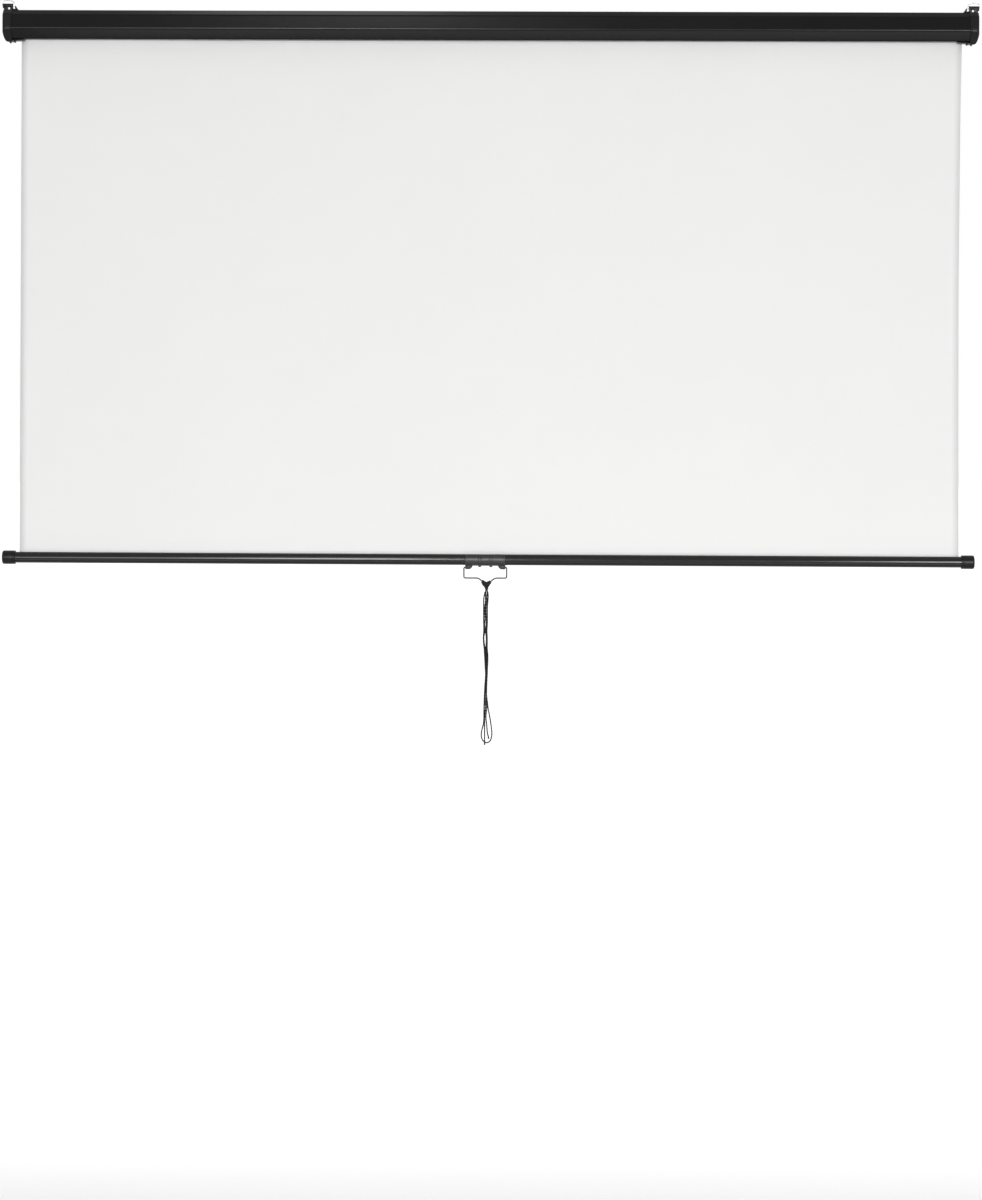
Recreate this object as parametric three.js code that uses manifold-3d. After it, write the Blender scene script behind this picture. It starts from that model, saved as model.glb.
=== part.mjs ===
// A pull-down projector screen that hangs on a wall: a metal casing with plastic end caps, a
// spring roller inside, a white screen fabric, a weighted bottom bar, a wire handle and a cord.
// Millimetres. X runs to the right, the front faces -Y, and Z is up. The origin is on the wall,
// in the middle of the casing's flat back.

import * as THREE from "three";
import { mergeVertices } from "three/addons/utils/BufferGeometryUtils.js";
import Module from "manifold-3d";

const wasm = await Module();
wasm.setup();

// Sizes shared by many pieces
const fit = 0.3; // gap between two pieces that touch
const overrun = 1; // how far a cut runs past the face that it opens
const mergeReach = 0.0001; // corners this close are one corner
const roundSides = 32; // sides of a turned piece
const smallSides = 16; // sides of a pin, screw or hole
const wireSides = 8; // sides of a bent wire
const cordSides = 8; // sides of the cord
const curveSteps = 8; // steps of each curve in an outline

// Screen fabric
const fabricWidth = 1550;
const fabricThickness = 0.4;
const fabricDrop = 877; // from the roller's axis down to the bottom bar's axis
const woundTurns = 2; // turns that stay on the roller when the screen is down
const woundPitch = 0.7; // from one turn to the next
const stepsPerTurn = 24;

// Casing
const casingHeight = 48;
const casingDepth = 50;
const casingWall = 1.2;
const casingTopDepth = 37; // the flat top, from the wall to the chamfer
const chamferDrop = 7.4;
const frontLean = 5; // the top of the front face stands this far behind the ridge
const ridgeDrop = 31.4; // from the top down to the ridge
const footDepth = 38; // from the wall to the front edge of the bottom
const slotFront = 21.5; // the slot's front edge, from the wall
const slotBack = 4.5;
const casingMargin = 12; // from the fabric's edge to the end cap
const portRadius = 3.2; // a round channel that takes an end cap's screw
const portBore = 1.8;
const portInset = 3.8; // from the casing's outside to the channel's middle
const frontPortDepth = 35; // from the wall to the front channel's middle

// End caps
const capWidth = 14.8;
const capOverlap = 5; // length of casing inside a cap
const capSkirt = 2; // how far a cap stands out over the casing
const capFoot = 6; // how far it reaches below the casing
const capWall = 2.2;
const capFootReach = 10; // length of the curve under a cap's outer edge
const capFootRise = 24; // its height
const capFootFlatShare = 0.9; // how near that curve's corner lies to the cap's outer edge
const capShoulderReach = 5;
const capShoulderDrop = 13;
const capFrontRound = 7;
const topTongueLength = 9;
const topTongueMargin = 2;
const footTongueLength = 20;
const footTongueThickness = 2.2;

// Cap screws
const screwShankRadius = 1.4;
const screwShankLength = 17;
const screwHeadRadius = 3;
const screwHeadHeight = 1.8;
const screwHeadSink = 0.4; // how deep the head's face lies in the cap
const screwBossWall = 1.6;
const screwSlotWidth = 0.9;
const screwSlotLength = 3.6;
const screwSlotDepth = 1;
const headTopShare = 0.7; // of a screw head's radius, flat on top
const headCrownShare = 0.35; // of its height, where the head slopes in

// Hanging rings on the end caps
const barrelLength = 16.8;
const barrelRadius = 3.1;
const barrelHeight = 5.6; // of its axis over the cap's top
const barrelSetback = 33; // of its axis from the wall
const barrelOverhang = 1; // of the barrel's outer end past the cap's outer face
const outerLegWidth = 8.5;
const barrelWindow = 3.5; // the opening between the two legs under the barrel
const barrelLegDepth = 4.6;
const barrelLegSink = 6.5; // of the outer leg, which runs down the cap's shoulder
const ringWire = 2;
const ringHeight = 8.8; // from the barrel's axis to the wire's middle at the top
const ringTopWidth = 9; // the flatter top of the ring
const ringShoulder = 5; // height of the ring's straight sides
const ringCorner = 3.4;
const ringSteps = 36;
const guardGap = 0.5; // from the ring to the small leaning guard beside it
const guardHeight = 4.8;
const guardTopWidth = 1.5;
const guardFootWidth = 4;
const guardReach = 5; // how far its foot leans away from the ring
const guardSink = 0.5; // how deep it stands in the cap's top tongue

// Roller
const rollerSetback = 28; // of its axis from the wall
const rollerAxisDrop = 2; // below the middle of the casing
const tubeRadius = 14;
const tubeWall = 1;
const tubeMargin = 2; // the tube runs this far past the fabric
const flangeLip = 2; // how far a plug's flange stands out round the tube
const flangeThickness = 2.5;
const plugLength = 14;
const spindleRadius = 4;
const spindleLength = 343; // its round part
const spindleGap = 3; // from the spindle's round part to the socket
const runningGap = 0.4;
const tangThickness = 3;
const tangWidth = 7.4;
const socketRadius = 9;
const socketReach = 5; // how far a socket stands into the casing's end
const socketDepth = 11.5;
const idlePinRadius = 3;
const idleBushWall = 2;
const idleBushLength = 11;
const bushLength = 12;

// Spring round the spindle
const springWire = 1.4;
const springRadius = 8; // to the wire's middle
const springTurns = 30;
const springSteps = 8; // a turn
const springSides = 5;

// Ratchet
const ratchetRadius = 7.5;
const ratchetThickness = 4;
const ratchetNotchDepth = 2.2;
const ratchetNotchWidth = 3;
const ratchetGap = 1; // between the ratchet wheel and the roller's flange
const pawlPivotRadius = 11.4; // of the pivot from the roller's axis
const pawlEyeRadius = 2.7;
const pawlLength = 8.4;
const pawlArmWidth = 2.4;
const pawlNoseWidth = 2.4;
const pawlNoseGap = 0.5; // from the nose to the ratchet wheel
const pawlPinRadius = 1.3;
const pawlPinHeadRadius = 2.1;
const pawlPinHeadHeight = 0.8;
const pawlPinSeat = 1.8; // depth of the pin in the flange
const pawlOpenAngle = 20; // degrees; the lower pawl hangs open by this much

// Bottom bar
const barShift = -0.7; // the bar sits this far to the right of the fabric's middle
const barRadius = 8.9;
const barWall = 1.2;
const barMargin = 24.9; // the tube runs this far past the fabric
const barSlot = 1.4;
const barCapRadius = 11.4;
const barCapLength = 21.8;
const barCapWall = 2.5;
const barCapRound = 4;
const barCapRoundSteps = 4;
const hemRodRadius = 3;
const hemRodMargin = 4; // the rod ends this far inside the fabric's edge
const hemSides = 16;

// Handle clip on the bar
const clipShift = -4; // the clip sits this far to the right of the fabric's middle
const clipHalfWidth = 33;
const clipWall = 1.1;
const clipRise = 6; // height of the clip's edges over the bar's axis
const clipEarWidth = 12;
const clipEarFootWidth = 9;
const clipEarDepth = 6;
const clipEarDrop = 14.8; // from the bar's axis to the ears' underside
const clipArcSteps = 20;
const clipScrewSpacing = 18.4;
const clipScrewShankRadius = 1.4;
const clipScrewShankLength = 4;
const clipScrewHeadRadius = 2.9;
const clipScrewHeadHeight = 1.6;

// Wire handle
const bailWire = 2.3;
const bailPivotDrop = 12.4; // below the bar's axis
const bailHalfWidth = 35.3;
const bailEndInset = 9; // length of wire inside an ear
const bailRunDrop = 18; // from the pivot to the straight lower runs
const bailDipShift = 2.2; // of the dip to the right of the handle's middle
const bailDipHalfWidth = 13.5;
const bailDipDrop = 27; // from the pivot to the middle of the dip
const bailDipFlat = 3; // half the width of the dip's rounded bottom
const bailCorner = 3;
const bailDipCorner = 4;
const bailSteps = 72;

// Cord and its knot
const cordThickness = 2;
const knotLobeRadius = 4.3;
const knotLobeHeight = 5;
const knotLobeDepth = 4;
const knotLobeSpacing = 7.4;
const knotLobeRise = 2.6; // of the lobes over the bottom of the handle's dip
const knotWaistRadius = 6.6; // of the knot below its lobes
const knotWaistDepth = 3.6;
const knotWaistRise = 1; // of the waist over the bottom of the dip
const knotThroatDrop = 7.5; // from the bottom of the dip to the point where the strands swing
const knotThroatRadius = 2.4;
const knotSteps = 8;
const loopSteps = 56;
const tailSteps = 18;
const tipRadius = 1.5;

// Places that follow from the sizes
const casingTop = casingHeight / 2;
const casingBottom = -casingHeight / 2;
const capInner = fabricWidth / 2 + casingMargin;
const capOuter = capInner + capWidth;
const casingEnd = capInner + capOverlap;
const capTop = casingTop + capSkirt;
const capBottom = casingBottom - capFoot;
const rollerAxis = [-rollerSetback, -rollerAxisDrop];
const tubeEnd = fabricWidth / 2 + tubeMargin;
const plugInner = tubeEnd - plugLength;
const flangeRadius = tubeRadius + flangeLip;
const flangeInner = tubeEnd + fit;
const flangeOuter = flangeInner + flangeThickness;
const ratchetInner = flangeOuter + ratchetGap;
const ratchetOuter = ratchetInner + ratchetThickness;
const socketFace = casingEnd - socketReach;
const woundInner = tubeRadius + fit + fabricThickness / 2;
const woundOuter = woundInner + woundTurns * woundPitch;
const fabricSetback = rollerSetback - woundOuter;
const barDrop = rollerAxisDrop + fabricDrop;
const barEnd = fabricWidth / 2 + barMargin;
const barCapInner = barEnd + fit + barCapWall - barCapLength;
const screwPorts = [
  { name: "front", place: [-frontPortDepth, casingTop - portInset] },
  { name: "back", place: [-portInset, casingTop - portInset] },
];

// Materials
const surface = (color, roughness, metalness) =>
  new THREE.MeshStandardMaterial({ color, roughness, metalness });
const casingPaint = surface(0x1c1c1d, 0.35, 0.4);
const blackPlastic = surface(0x222223, 0.5, 0);
const barPaint = surface(0x1e1e20, 0.32, 0.5);
const whiteFabric = surface(0xf2f2f0, 0.85, 0);
const brightSteel = surface(0xb9bcc0, 0.25, 1);
const springSteel = surface(0x6f7276, 0.4, 1);
const blackWire = surface(0x17171a, 0.35, 0.6);
const blackCord = surface(0x121213, 0.9, 0);
const greyPlastic = surface(0x8c8f92, 0.6, 0);

// The same surface with shared corners, no collapsed faces, and its faces pointing out
function closed(geometry) {
  const bare = new THREE.BufferGeometry();
  bare.setAttribute("position", geometry.getAttribute("position"));
  bare.setIndex(geometry.index);
  const shared = mergeVertices(bare, mergeReach);
  const corners = shared.getAttribute("position");
  const faces = [];
  let volume = 0;
  for (let i = 0; i < shared.index.count; i += 3) {
    const face = [0, 1, 2].map((k) => shared.index.getX(i + k));
    if (new Set(face).size === 3) {
      const [a, b, c] = face.map((k) => new THREE.Vector3().fromBufferAttribute(corners, k));
      volume += a.dot(b.cross(c));
      faces.push(face);
    }
  }
  if (volume < 0) {
    faces.forEach((face) => face.reverse());
  }
  shared.setIndex(faces.flat());
  return shared;
}

function toSolid(geometry) {
  const shape = closed(geometry);
  const vertProperties = Float32Array.from(shape.getAttribute("position").array);
  const triVerts = Uint32Array.from(shape.index.array);
  return new wasm.Manifold(new wasm.Mesh({ numProp: 3, vertProperties, triVerts }));
}

function fromSolid(solid) {
  const mesh = solid.getMesh();
  const geometry = new THREE.BufferGeometry();
  geometry.setAttribute("position", new THREE.BufferAttribute(mesh.vertProperties, 3));
  geometry.setIndex(new THREE.BufferAttribute(mesh.triVerts, 1));
  return geometry;
}

const joined = (...parts) => fromSolid(parts.map(toSolid).reduce((a, b) => a.add(b)));
const cut = (...parts) => fromSolid(parts.map(toSolid).reduce((a, b) => a.subtract(b)));
const common = (...parts) => fromSolid(parts.map(toSolid).reduce((a, b) => a.intersect(b)));

const xWay = new THREE.Vector3(1, 0, 0);
const yWay = new THREE.Vector3(0, 1, 0);
const zWay = new THREE.Vector3(0, 0, 1);

function shapeOf(outline) {
  if (outline instanceof THREE.Shape) {
    return outline;
  }
  return new THREE.Shape(outline.map(([u, v]) => new THREE.Vector2(u, v)));
}

// An outline with another cut out of it
function hollow(outline, inner) {
  const shape = shapeOf(outline);
  shape.holes.push(new THREE.Path(inner.map(([u, v]) => new THREE.Vector2(u, v))));
  return shape;
}

function extruded(outline, depth) {
  const options = { depth, bevelEnabled: false, curveSegments: curveSteps };
  return new THREE.ExtrudeGeometry(shapeOf(outline), options);
}

// An outline in y and z, carried along x
function prismX(outline, from, to) {
  const turn = new THREE.Matrix4().makeBasis(yWay, zWay, xWay);
  return extruded(outline, to - from).applyMatrix4(turn).translate(from, 0, 0);
}

// An outline in x and z, carried along y
function prismY(outline, from, to) {
  const turn = new THREE.Matrix4().makeBasis(xWay, zWay, yWay.clone().negate());
  return extruded(outline, to - from).applyMatrix4(turn).translate(0, to, 0);
}

// An outline in x and y, carried along z
function prismZ(outline, from, to) {
  return extruded(outline, to - from).translate(0, 0, from);
}

function box([x0, x1], [y0, y1], [z0, z1]) {
  const size = [x1 - x0, y1 - y0, z1 - z0];
  return new THREE.BoxGeometry(...size).translate((x0 + x1) / 2, (y0 + y1) / 2, (z0 + z1) / 2);
}

// A profile of [x, radius] points turned round the x axis, then moved to [y, z]
function turned(profile, [y, z] = [0, 0], sides = roundSides) {
  const points = profile.map(([x, radius]) => new THREE.Vector2(radius, x));
  const turn = new THREE.Matrix4().makeBasis(yWay, xWay, zWay.clone().negate());
  return new THREE.LatheGeometry(points, sides).applyMatrix4(turn).translate(0, y, z);
}

function rod(radius, from, to, place, sides) {
  return turned([[from, 0], [from, radius], [to, radius], [to, 0]], place, sides);
}

// A hollow rod, which is closed on itself instead of on the axis
function sleeve(outer, inner, from, to, place, sides) {
  const corners = [[from, inner], [from, outer], [to, outer], [to, inner], [from, inner]];
  return turned(corners, place, sides);
}

function circle(radius, sides, [u, v] = [0, 0]) {
  const turns = Array.from({ length: sides }, (_, i) => (2 * Math.PI * i) / sides);
  return turns.map((t) => [u + radius * Math.cos(t), v + radius * Math.sin(t)]);
}

function tube(path, thickness, sides, steps) {
  const options = { steps, extrudePath: path, bevelEnabled: false };
  return new THREE.ExtrudeGeometry(shapeOf(circle(thickness / 2, sides)), options);
}

// Straight runs between points, with each inner corner rounded from this far before it
function bentPath(points, corner) {
  const path = new THREE.CurvePath();
  let last = points[0];
  for (let i = 1; i < points.length - 1; i += 1) {
    const before = points[i - 1].clone().sub(points[i]).setLength(corner[i - 1]).add(points[i]);
    const after = points[i + 1].clone().sub(points[i]).setLength(corner[i - 1]).add(points[i]);
    path.add(new THREE.LineCurve3(last, before));
    path.add(new THREE.QuadraticBezierCurve3(before, points[i], after));
    last = after;
  }
  path.add(new THREE.LineCurve3(last, points[points.length - 1]));
  return path;
}

// An outline whose edges have all moved out by a distance, or in if it is negative
function grown(outline, distance) {
  const count = outline.length;
  const area = outline.reduce((sum, [u, v], i) => {
    const [nextU, nextV] = outline[(i + 1) % count];
    return sum + u * nextV - nextU * v;
  }, 0);
  const side = Math.sign(area) * distance;
  return outline.map(([u, v], i) => {
    const before = outline[(i + count - 1) % count];
    const after = outline[(i + 1) % count];
    const first = new THREE.Vector2(u - before[0], v - before[1]).normalize();
    const second = new THREE.Vector2(after[0] - u, after[1] - v).normalize();
    const bend = 1 + first.dot(second);
    const shift = side / bend;
    return [u + (first.y + second.y) * shift, v - (first.x + second.x) * shift];
  });
}

function piece(name, geometry, material) {
  const shape = closed(geometry);
  shape.computeVertexNormals();
  const mesh = new THREE.Mesh(shape, material);
  mesh.name = name;
  return mesh;
}

function group(place, ...members) {
  const made = new THREE.Group();
  made.position.set(...place);
  made.add(...members);
  return made;
}

// Casing: six flat sides with a ridge along the front and a slot in the bottom
const casingOutline = [
  [0, casingTop],
  [-casingTopDepth, casingTop],
  [frontLean - casingDepth, casingTop - chamferDrop],
  [-casingDepth, casingTop - ridgeDrop],
  [-footDepth, casingBottom],
  [0, casingBottom],
];

function casing() {
  const shell = prismX(hollow(casingOutline, grown(casingOutline, -casingWall)), -casingEnd, casingEnd);
  const past = casingEnd + overrun;
  const slotHeight = [casingBottom - overrun, casingBottom + casingWall + overrun];
  const slot = box([-past, past], [-slotFront, -slotBack], slotHeight);
  const channels = screwPorts.map(({ place }) => rod(portRadius, -casingEnd, casingEnd, place, smallSides));
  const bores = screwPorts.map(({ place }) => rod(portBore, -past, past, place, smallSides));
  const kept = prismX(casingOutline, -casingEnd, casingEnd);
  return cut(common(joined(shell, ...channels), kept), slot, ...bores);
}

// End cap, built at the right end: its section, its front view and its plan meet in one body
function capSection(inset) {
  const outer = grown(casingOutline, capSkirt).map(([y, z]) => [
    Math.min(y, 0),
    y < 0 && z < casingBottom ? capBottom : z,
  ]);
  return grown(outer, -inset);
}

function capFrontView(inset) {
  const outer = capOuter - inset;
  const top = capTop - inset;
  const bottom = capBottom + inset;
  const view = new THREE.Shape();
  view.moveTo(capInner - overrun, bottom);
  view.lineTo(outer - capFootReach, bottom);
  const corner = outer - capFootReach * (1 - capFootFlatShare);
  view.quadraticCurveTo(corner, bottom, outer, bottom + capFootRise);
  view.lineTo(outer, top - capShoulderDrop);
  view.quadraticCurveTo(outer, top, outer - capShoulderReach, top);
  view.lineTo(capInner - overrun, top);
  return view;
}

function capPlan(inset) {
  const outer = capOuter - inset;
  const front = -casingDepth - 2 * capSkirt + inset;
  const plan = new THREE.Shape();
  plan.moveTo(capInner - overrun, overrun);
  plan.lineTo(capInner - overrun, front);
  plan.lineTo(outer - capFrontRound, front);
  plan.quadraticCurveTo(outer, front, outer, front + capFrontRound + capSkirt);
  plan.lineTo(outer, overrun);
  return plan;
}

function capBody(inset, from) {
  return common(
    prismX(capSection(inset), from, capOuter),
    prismY(capFrontView(inset), -casingDepth - casingWall - 2 * capSkirt, overrun),
    prismZ(capPlan(inset), capBottom - overrun, capTop + overrun),
  );
}

const barrelOuter = capOuter + barrelOverhang;
const barrelInner = barrelOuter - barrelLength;
const barrelPlace = [-barrelSetback, capTop + barrelHeight];

const legDepth = [-barrelSetback - barrelLegDepth / 2, -barrelSetback + barrelLegDepth / 2];

// A barrel on two legs, of which the outer one runs down the cap's shoulder
function hangerStand() {
  const outerLeg = barrelOuter - outerLegWidth;
  const legs = [
    { span: [outerLeg, barrelOuter], sink: barrelLegSink },
    { span: [barrelInner, outerLeg - barrelWindow], sink: capSkirt / 2 },
  ];
  const solids = legs.map(({ span, sink }) => {
    return box(span, legDepth, [capTop - sink, capTop + barrelHeight]);
  });
  return joined(rod(barrelRadius, barrelInner, barrelOuter, barrelPlace, smallSides), ...solids);
}

// A small leaning post on the top tongue, beside the ring's inner side
function ringGuard() {
  const near = barrelInner - fit - ringWire - guardGap;
  const high = capTop + guardHeight;
  const low = capTop - guardSink;
  const outline = [
    [near, high],
    [near - guardTopWidth, high],
    [near - guardReach, low],
    [near - guardReach + guardFootWidth, low],
  ];
  return prismY(outline, ...legDepth);
}

function capTongues() {
  const into = capInner + capSkirt;
  const topDepth = [-casingTopDepth + topTongueMargin, -topTongueMargin];
  const top = box([capInner - topTongueLength, into], topDepth, [casingTop + fit, capTop]);
  const footTop = casingBottom - fit;
  const footHeight = [footTop - footTongueThickness, footTop];
  const foot = box([capInner - footTongueLength, into], [-footDepth, -slotFront], footHeight);
  return [top, foot];
}

function screwHoles() {
  const headFace = capOuter - screwHeadSink;
  const seat = headFace - screwHeadHeight - fit;
  return screwPorts.flatMap(({ place }) => [
    rod(screwShankRadius + fit, casingEnd, capOuter, place, smallSides),
    rod(screwHeadRadius + fit, seat, capOuter + overrun, place, smallSides),
  ]);
}

function endCap(socketHole) {
  const casingSpace = prismX(grown(casingOutline, fit), capInner - 2 * overrun, casingEnd + fit);
  const behindHeight = [casingBottom - fit, casingTop + fit];
  const behind = box([capInner - overrun, casingEnd + fit], [-casingDepth / 2, overrun], behindHeight);
  const shell = cut(capBody(0, capInner), capBody(capWall, casingEnd), casingSpace, behind);
  const bossRadius = screwHeadRadius + fit + screwBossWall;
  const bossSpan = [casingEnd + fit, capOuter];
  const bosses = screwPorts.map(({ place }) => rod(bossRadius, ...bossSpan, place, smallSides));
  const socket = rod(socketRadius, socketFace, capOuter, rollerAxis, roundSides);
  const inner = common(joined(socket, ...bosses), capBody(0, casingEnd - socketReach - overrun));
  const reach = rod(socketRadius, socketFace, casingEnd + capWall, rollerAxis, roundSides);
  const boreSpan = [barrelInner - overrun, barrelOuter + overrun];
  const bore = rod(ringWire / 2 + fit, ...boreSpan, barrelPlace, smallSides);
  const body = joined(shell, inner, reach, hangerStand(), ringGuard(), ...capTongues());
  return cut(body, ...screwHoles(), socketHole, bore);
}

function mirrored(geometry) {
  return geometry.clone().scale(-1, 1, 1);
}

// The left socket holds the spindle's flat tang, and the right one the idle pin's bush
const socketEnd = socketFace + socketDepth;

function tangHole() {
  const [y, z] = rollerAxis;
  const thick = tangThickness / 2 + fit;
  const wide = tangWidth / 2 + fit;
  return box([socketFace - overrun, socketEnd], [y - thick, y + thick], [z - wide, z + wide]);
}

function bushHole() {
  const radius = idlePinRadius + fit + idleBushWall + fit;
  return rod(radius, socketFace - overrun, socketEnd, rollerAxis, roundSides);
}

// A screw along x with its head at the right and a cross in the head
function capScrew(place) {
  const face = capOuter - screwHeadSink;
  const neck = face - screwHeadHeight;
  const tip = neck - screwShankLength;
  const profile = [
    [tip, 0],
    [tip, screwShankRadius / 2],
    [tip + screwShankRadius, screwShankRadius],
    [neck, screwShankRadius],
    [neck, screwHeadRadius],
    [face - screwHeadHeight * headCrownShare, screwHeadRadius],
    [face, screwHeadRadius * headTopShare],
    [face, 0],
  ];
  const depth = [face - screwSlotDepth, face + overrun];
  const long = [-screwSlotLength / 2, screwSlotLength / 2];
  const wide = [-screwSlotWidth / 2, screwSlotWidth / 2];
  const cross = joined(box(depth, long, wide), box(depth, wide, long)).translate(0, ...place);
  return cut(turned(profile, place, smallSides), cross);
}

function capScrews() {
  return screwPorts.flatMap(({ name, place }) => [
    piece(`cap_screw_right_${name}`, capScrew(place), brightSteel),
    piece(`cap_screw_left_${name}`, mirrored(capScrew(place)), brightSteel),
  ]);
}

// Hanging ring: a bent wire whose two ends meet inside the barrel
function hangingRing() {
  const side = barrelLength / 2 + fit + ringWire / 2;
  const points = [
    [fit / 2, 0],
    [side, 0],
    [side, ringShoulder],
    [ringTopWidth / 2, ringHeight],
    [-ringTopWidth / 2, ringHeight],
    [-side, ringShoulder],
    [-side, 0],
    [-fit / 2, 0],
  ].map(([x, z]) => new THREE.Vector3(x, 0, z));
  const corners = [ringWire, ringWire, ringCorner, ringCorner, ringWire, ringWire];
  return tube(bentPath(points, corners), ringWire, wireSides, ringSteps);
}

const barrelMiddle = (barrelInner + barrelOuter) / 2;

// Pieces on the roller's axis. Each is built at the right end, round the x axis.
function spindle() {
  const from = socketFace - spindleGap;
  const shaft = rod(spindleRadius, from - spindleLength, from, [0, 0], smallSides);
  const tangEnd = socketEnd - fit;
  const thick = [-tangThickness / 2, tangThickness / 2];
  const wide = [-tangWidth / 2, tangWidth / 2];
  return joined(shaft, box([from - spindleGap, tangEnd], thick, wide));
}

const spindleEnd = socketFace - spindleGap - spindleLength;

function ratchetWheel() {
  const wheel = sleeve(ratchetRadius, spindleRadius + fit, ratchetInner, ratchetOuter);
  const past = [ratchetInner - overrun, ratchetOuter + overrun];
  const bottom = ratchetRadius - ratchetNotchDepth;
  const notches = [1, -1].map((side) => {
    const outline = [
      [0, side * bottom],
      [side * ratchetNotchWidth, side * (ratchetRadius + overrun)],
      [0, side * (ratchetRadius + overrun)],
    ];
    return prismX(outline, ...past);
  });
  return cut(wheel, ...notches);
}

// A plug with a flange that closes one end of the roller's tube
function tubePlug(bore) {
  const plugRadius = tubeRadius - tubeWall - fit;
  return turned([
    [plugInner, bore],
    [plugInner, plugRadius],
    [flangeInner, plugRadius],
    [flangeInner, flangeRadius],
    [flangeOuter, flangeRadius],
    [flangeOuter, bore],
    [plugInner, bore],
  ]);
}

// The upper pawl lies over the wheel, and the lower one hangs open
const pawlPlaces = [
  { name: "upper", side: 1, turn: 0 },
  { name: "lower", side: -1, turn: Math.PI - THREE.MathUtils.degToRad(pawlOpenAngle) },
];

function rollerHead() {
  const seats = pawlPlaces.map(({ side }) => {
    const span = [flangeOuter - pawlPinSeat - fit, flangeOuter + overrun];
    return rod(pawlPinRadius + fit, ...span, [0, side * pawlPivotRadius], smallSides);
  });
  return cut(tubePlug(spindleRadius + runningGap), ...seats);
}

function pawlPin(side) {
  const head = ratchetOuter + fit;
  return turned([
    [flangeOuter - pawlPinSeat, 0],
    [flangeOuter - pawlPinSeat, pawlPinRadius],
    [head, pawlPinRadius],
    [head, pawlPinHeadRadius],
    [head + pawlPinHeadHeight, pawlPinHeadRadius],
    [head + pawlPinHeadHeight, 0],
  ], [0, side * pawlPivotRadius], smallSides);
}

// A pawl, round its pin: an eye, an arm beside the wheel, and a nose that reaches over its rim
function pawl() {
  const noseFoot = ratchetRadius + pawlNoseGap;
  const noseInner = pawlLength - pawlNoseWidth;
  const noseDrop = pawlPivotRadius - Math.sqrt(noseFoot ** 2 - noseInner ** 2);
  const half = pawlArmWidth / 2;
  const outline = [
    [0, half],
    [-pawlLength, half],
    [-pawlLength, -noseDrop],
    [-noseInner, -noseDrop],
    [-noseInner, -half],
    [0, -half],
  ];
  const span = [ratchetInner, ratchetOuter];
  const eye = rod(pawlEyeRadius, ...span, [0, 0], smallSides);
  const holeSpan = [ratchetInner - overrun, ratchetOuter + overrun];
  const hole = rod(pawlPinRadius + fit, ...holeSpan, [0, 0], smallSides);
  return cut(joined(prismX(outline, ...span), eye), hole);
}

// A path through exact points, with a straight run from each to the next
class PointPath extends THREE.Curve {
  constructor(points) {
    super();
    this.points = points;
  }

  getPoint(t, target = new THREE.Vector3()) {
    const place = t * (this.points.length - 1);
    const before = Math.min(Math.floor(place), this.points.length - 2);
    return target.copy(this.points[before]).lerp(this.points[before + 1], place - before);
  }
}

// The spring's helix runs from the bush at the spindle's inner end to the roller's head
function springPath() {
  const start = spindleEnd + bushLength + fit + springWire / 2;
  const length = plugInner - fit - springWire / 2 - start;
  const count = springTurns * springSteps;
  const points = Array.from({ length: count + 1 }, (_, i) => {
    const turn = (2 * Math.PI * i) / springSteps;
    const x = start + (length * i) / count;
    return new THREE.Vector3(x, springRadius * Math.cos(turn), springRadius * Math.sin(turn));
  });
  return new PointPath(points);
}

function torsionSpring() {
  return tube(springPath(), springWire, springSides, springTurns * springSteps);
}

function spindleBush() {
  const outer = tubeRadius - tubeWall - fit;
  return sleeve(outer, spindleRadius + runningGap, spindleEnd, spindleEnd + bushLength);
}

// Fabric that stays on the roller: a spiral that starts at the back, where the screen hangs
function woundFabric() {
  const count = woundTurns * stepsPerTurn;
  const along = Array.from({ length: count + 1 }, (_, i) => i / stepsPerTurn);
  const edge = (shift) => along.map((turns) => {
    const radius = woundOuter - turns * woundPitch + shift;
    const angle = 2 * Math.PI * turns;
    return [radius * Math.cos(angle), radius * Math.sin(angle)];
  });
  const outline = [...edge(fabricThickness / 2), ...edge(-fabricThickness / 2).reverse()];
  return prismX(outline, -fabricWidth / 2, fabricWidth / 2);
}

function idlePin() {
  return rod(idlePinRadius, plugInner + fit, socketEnd - 2 * fit, [0, 0], smallSides);
}

function idleBush() {
  const radius = idlePinRadius + fit;
  const end = socketEnd - fit;
  return sleeve(radius + idleBushWall, radius, end - idleBushLength, end);
}

// Screen fabric: a flat sheet with a sleeve round the hem rod, seen from its end
const hemLoopInner = hemRodRadius + fit;
const hemLoopOuter = hemLoopInner + fabricThickness;
// The sleeve hangs up under the bar's slot
const hemRise = barRadius - barWall - fit - hemLoopOuter;

function screenFabric() {
  const half = fabricThickness / 2;
  const top = fabricDrop - hemRise - fit;
  // The loop starts and ends where it meets the sheet's two sides
  const start = Math.acos(half / hemLoopOuter);
  const sweep = Math.PI + 2 * start;
  const loop = Array.from({ length: hemSides + 1 }, (_, i) => {
    const angle = start - (sweep * i) / hemSides;
    return [hemLoopOuter * Math.cos(angle), hemLoopOuter * Math.sin(angle)];
  });
  const outline = [[-half, top], [half, top], ...loop];
  const section = hollow(outline, circle(hemLoopInner, hemSides));
  return prismX(section, -fabricWidth / 2, fabricWidth / 2);
}

function bottomBar() {
  const wall = sleeve(barRadius, barRadius - barWall, -barEnd, barEnd, [0, 0], roundSides);
  const past = barEnd + overrun;
  const slot = box([-past, past], [-barSlot / 2, barSlot / 2], [0, barRadius + overrun]);
  const holes = clipScrewHoles().map((hole) => hole.translate(clipShift - barShift, 0, 0));
  return cut(wall, slot, ...holes);
}

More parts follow.
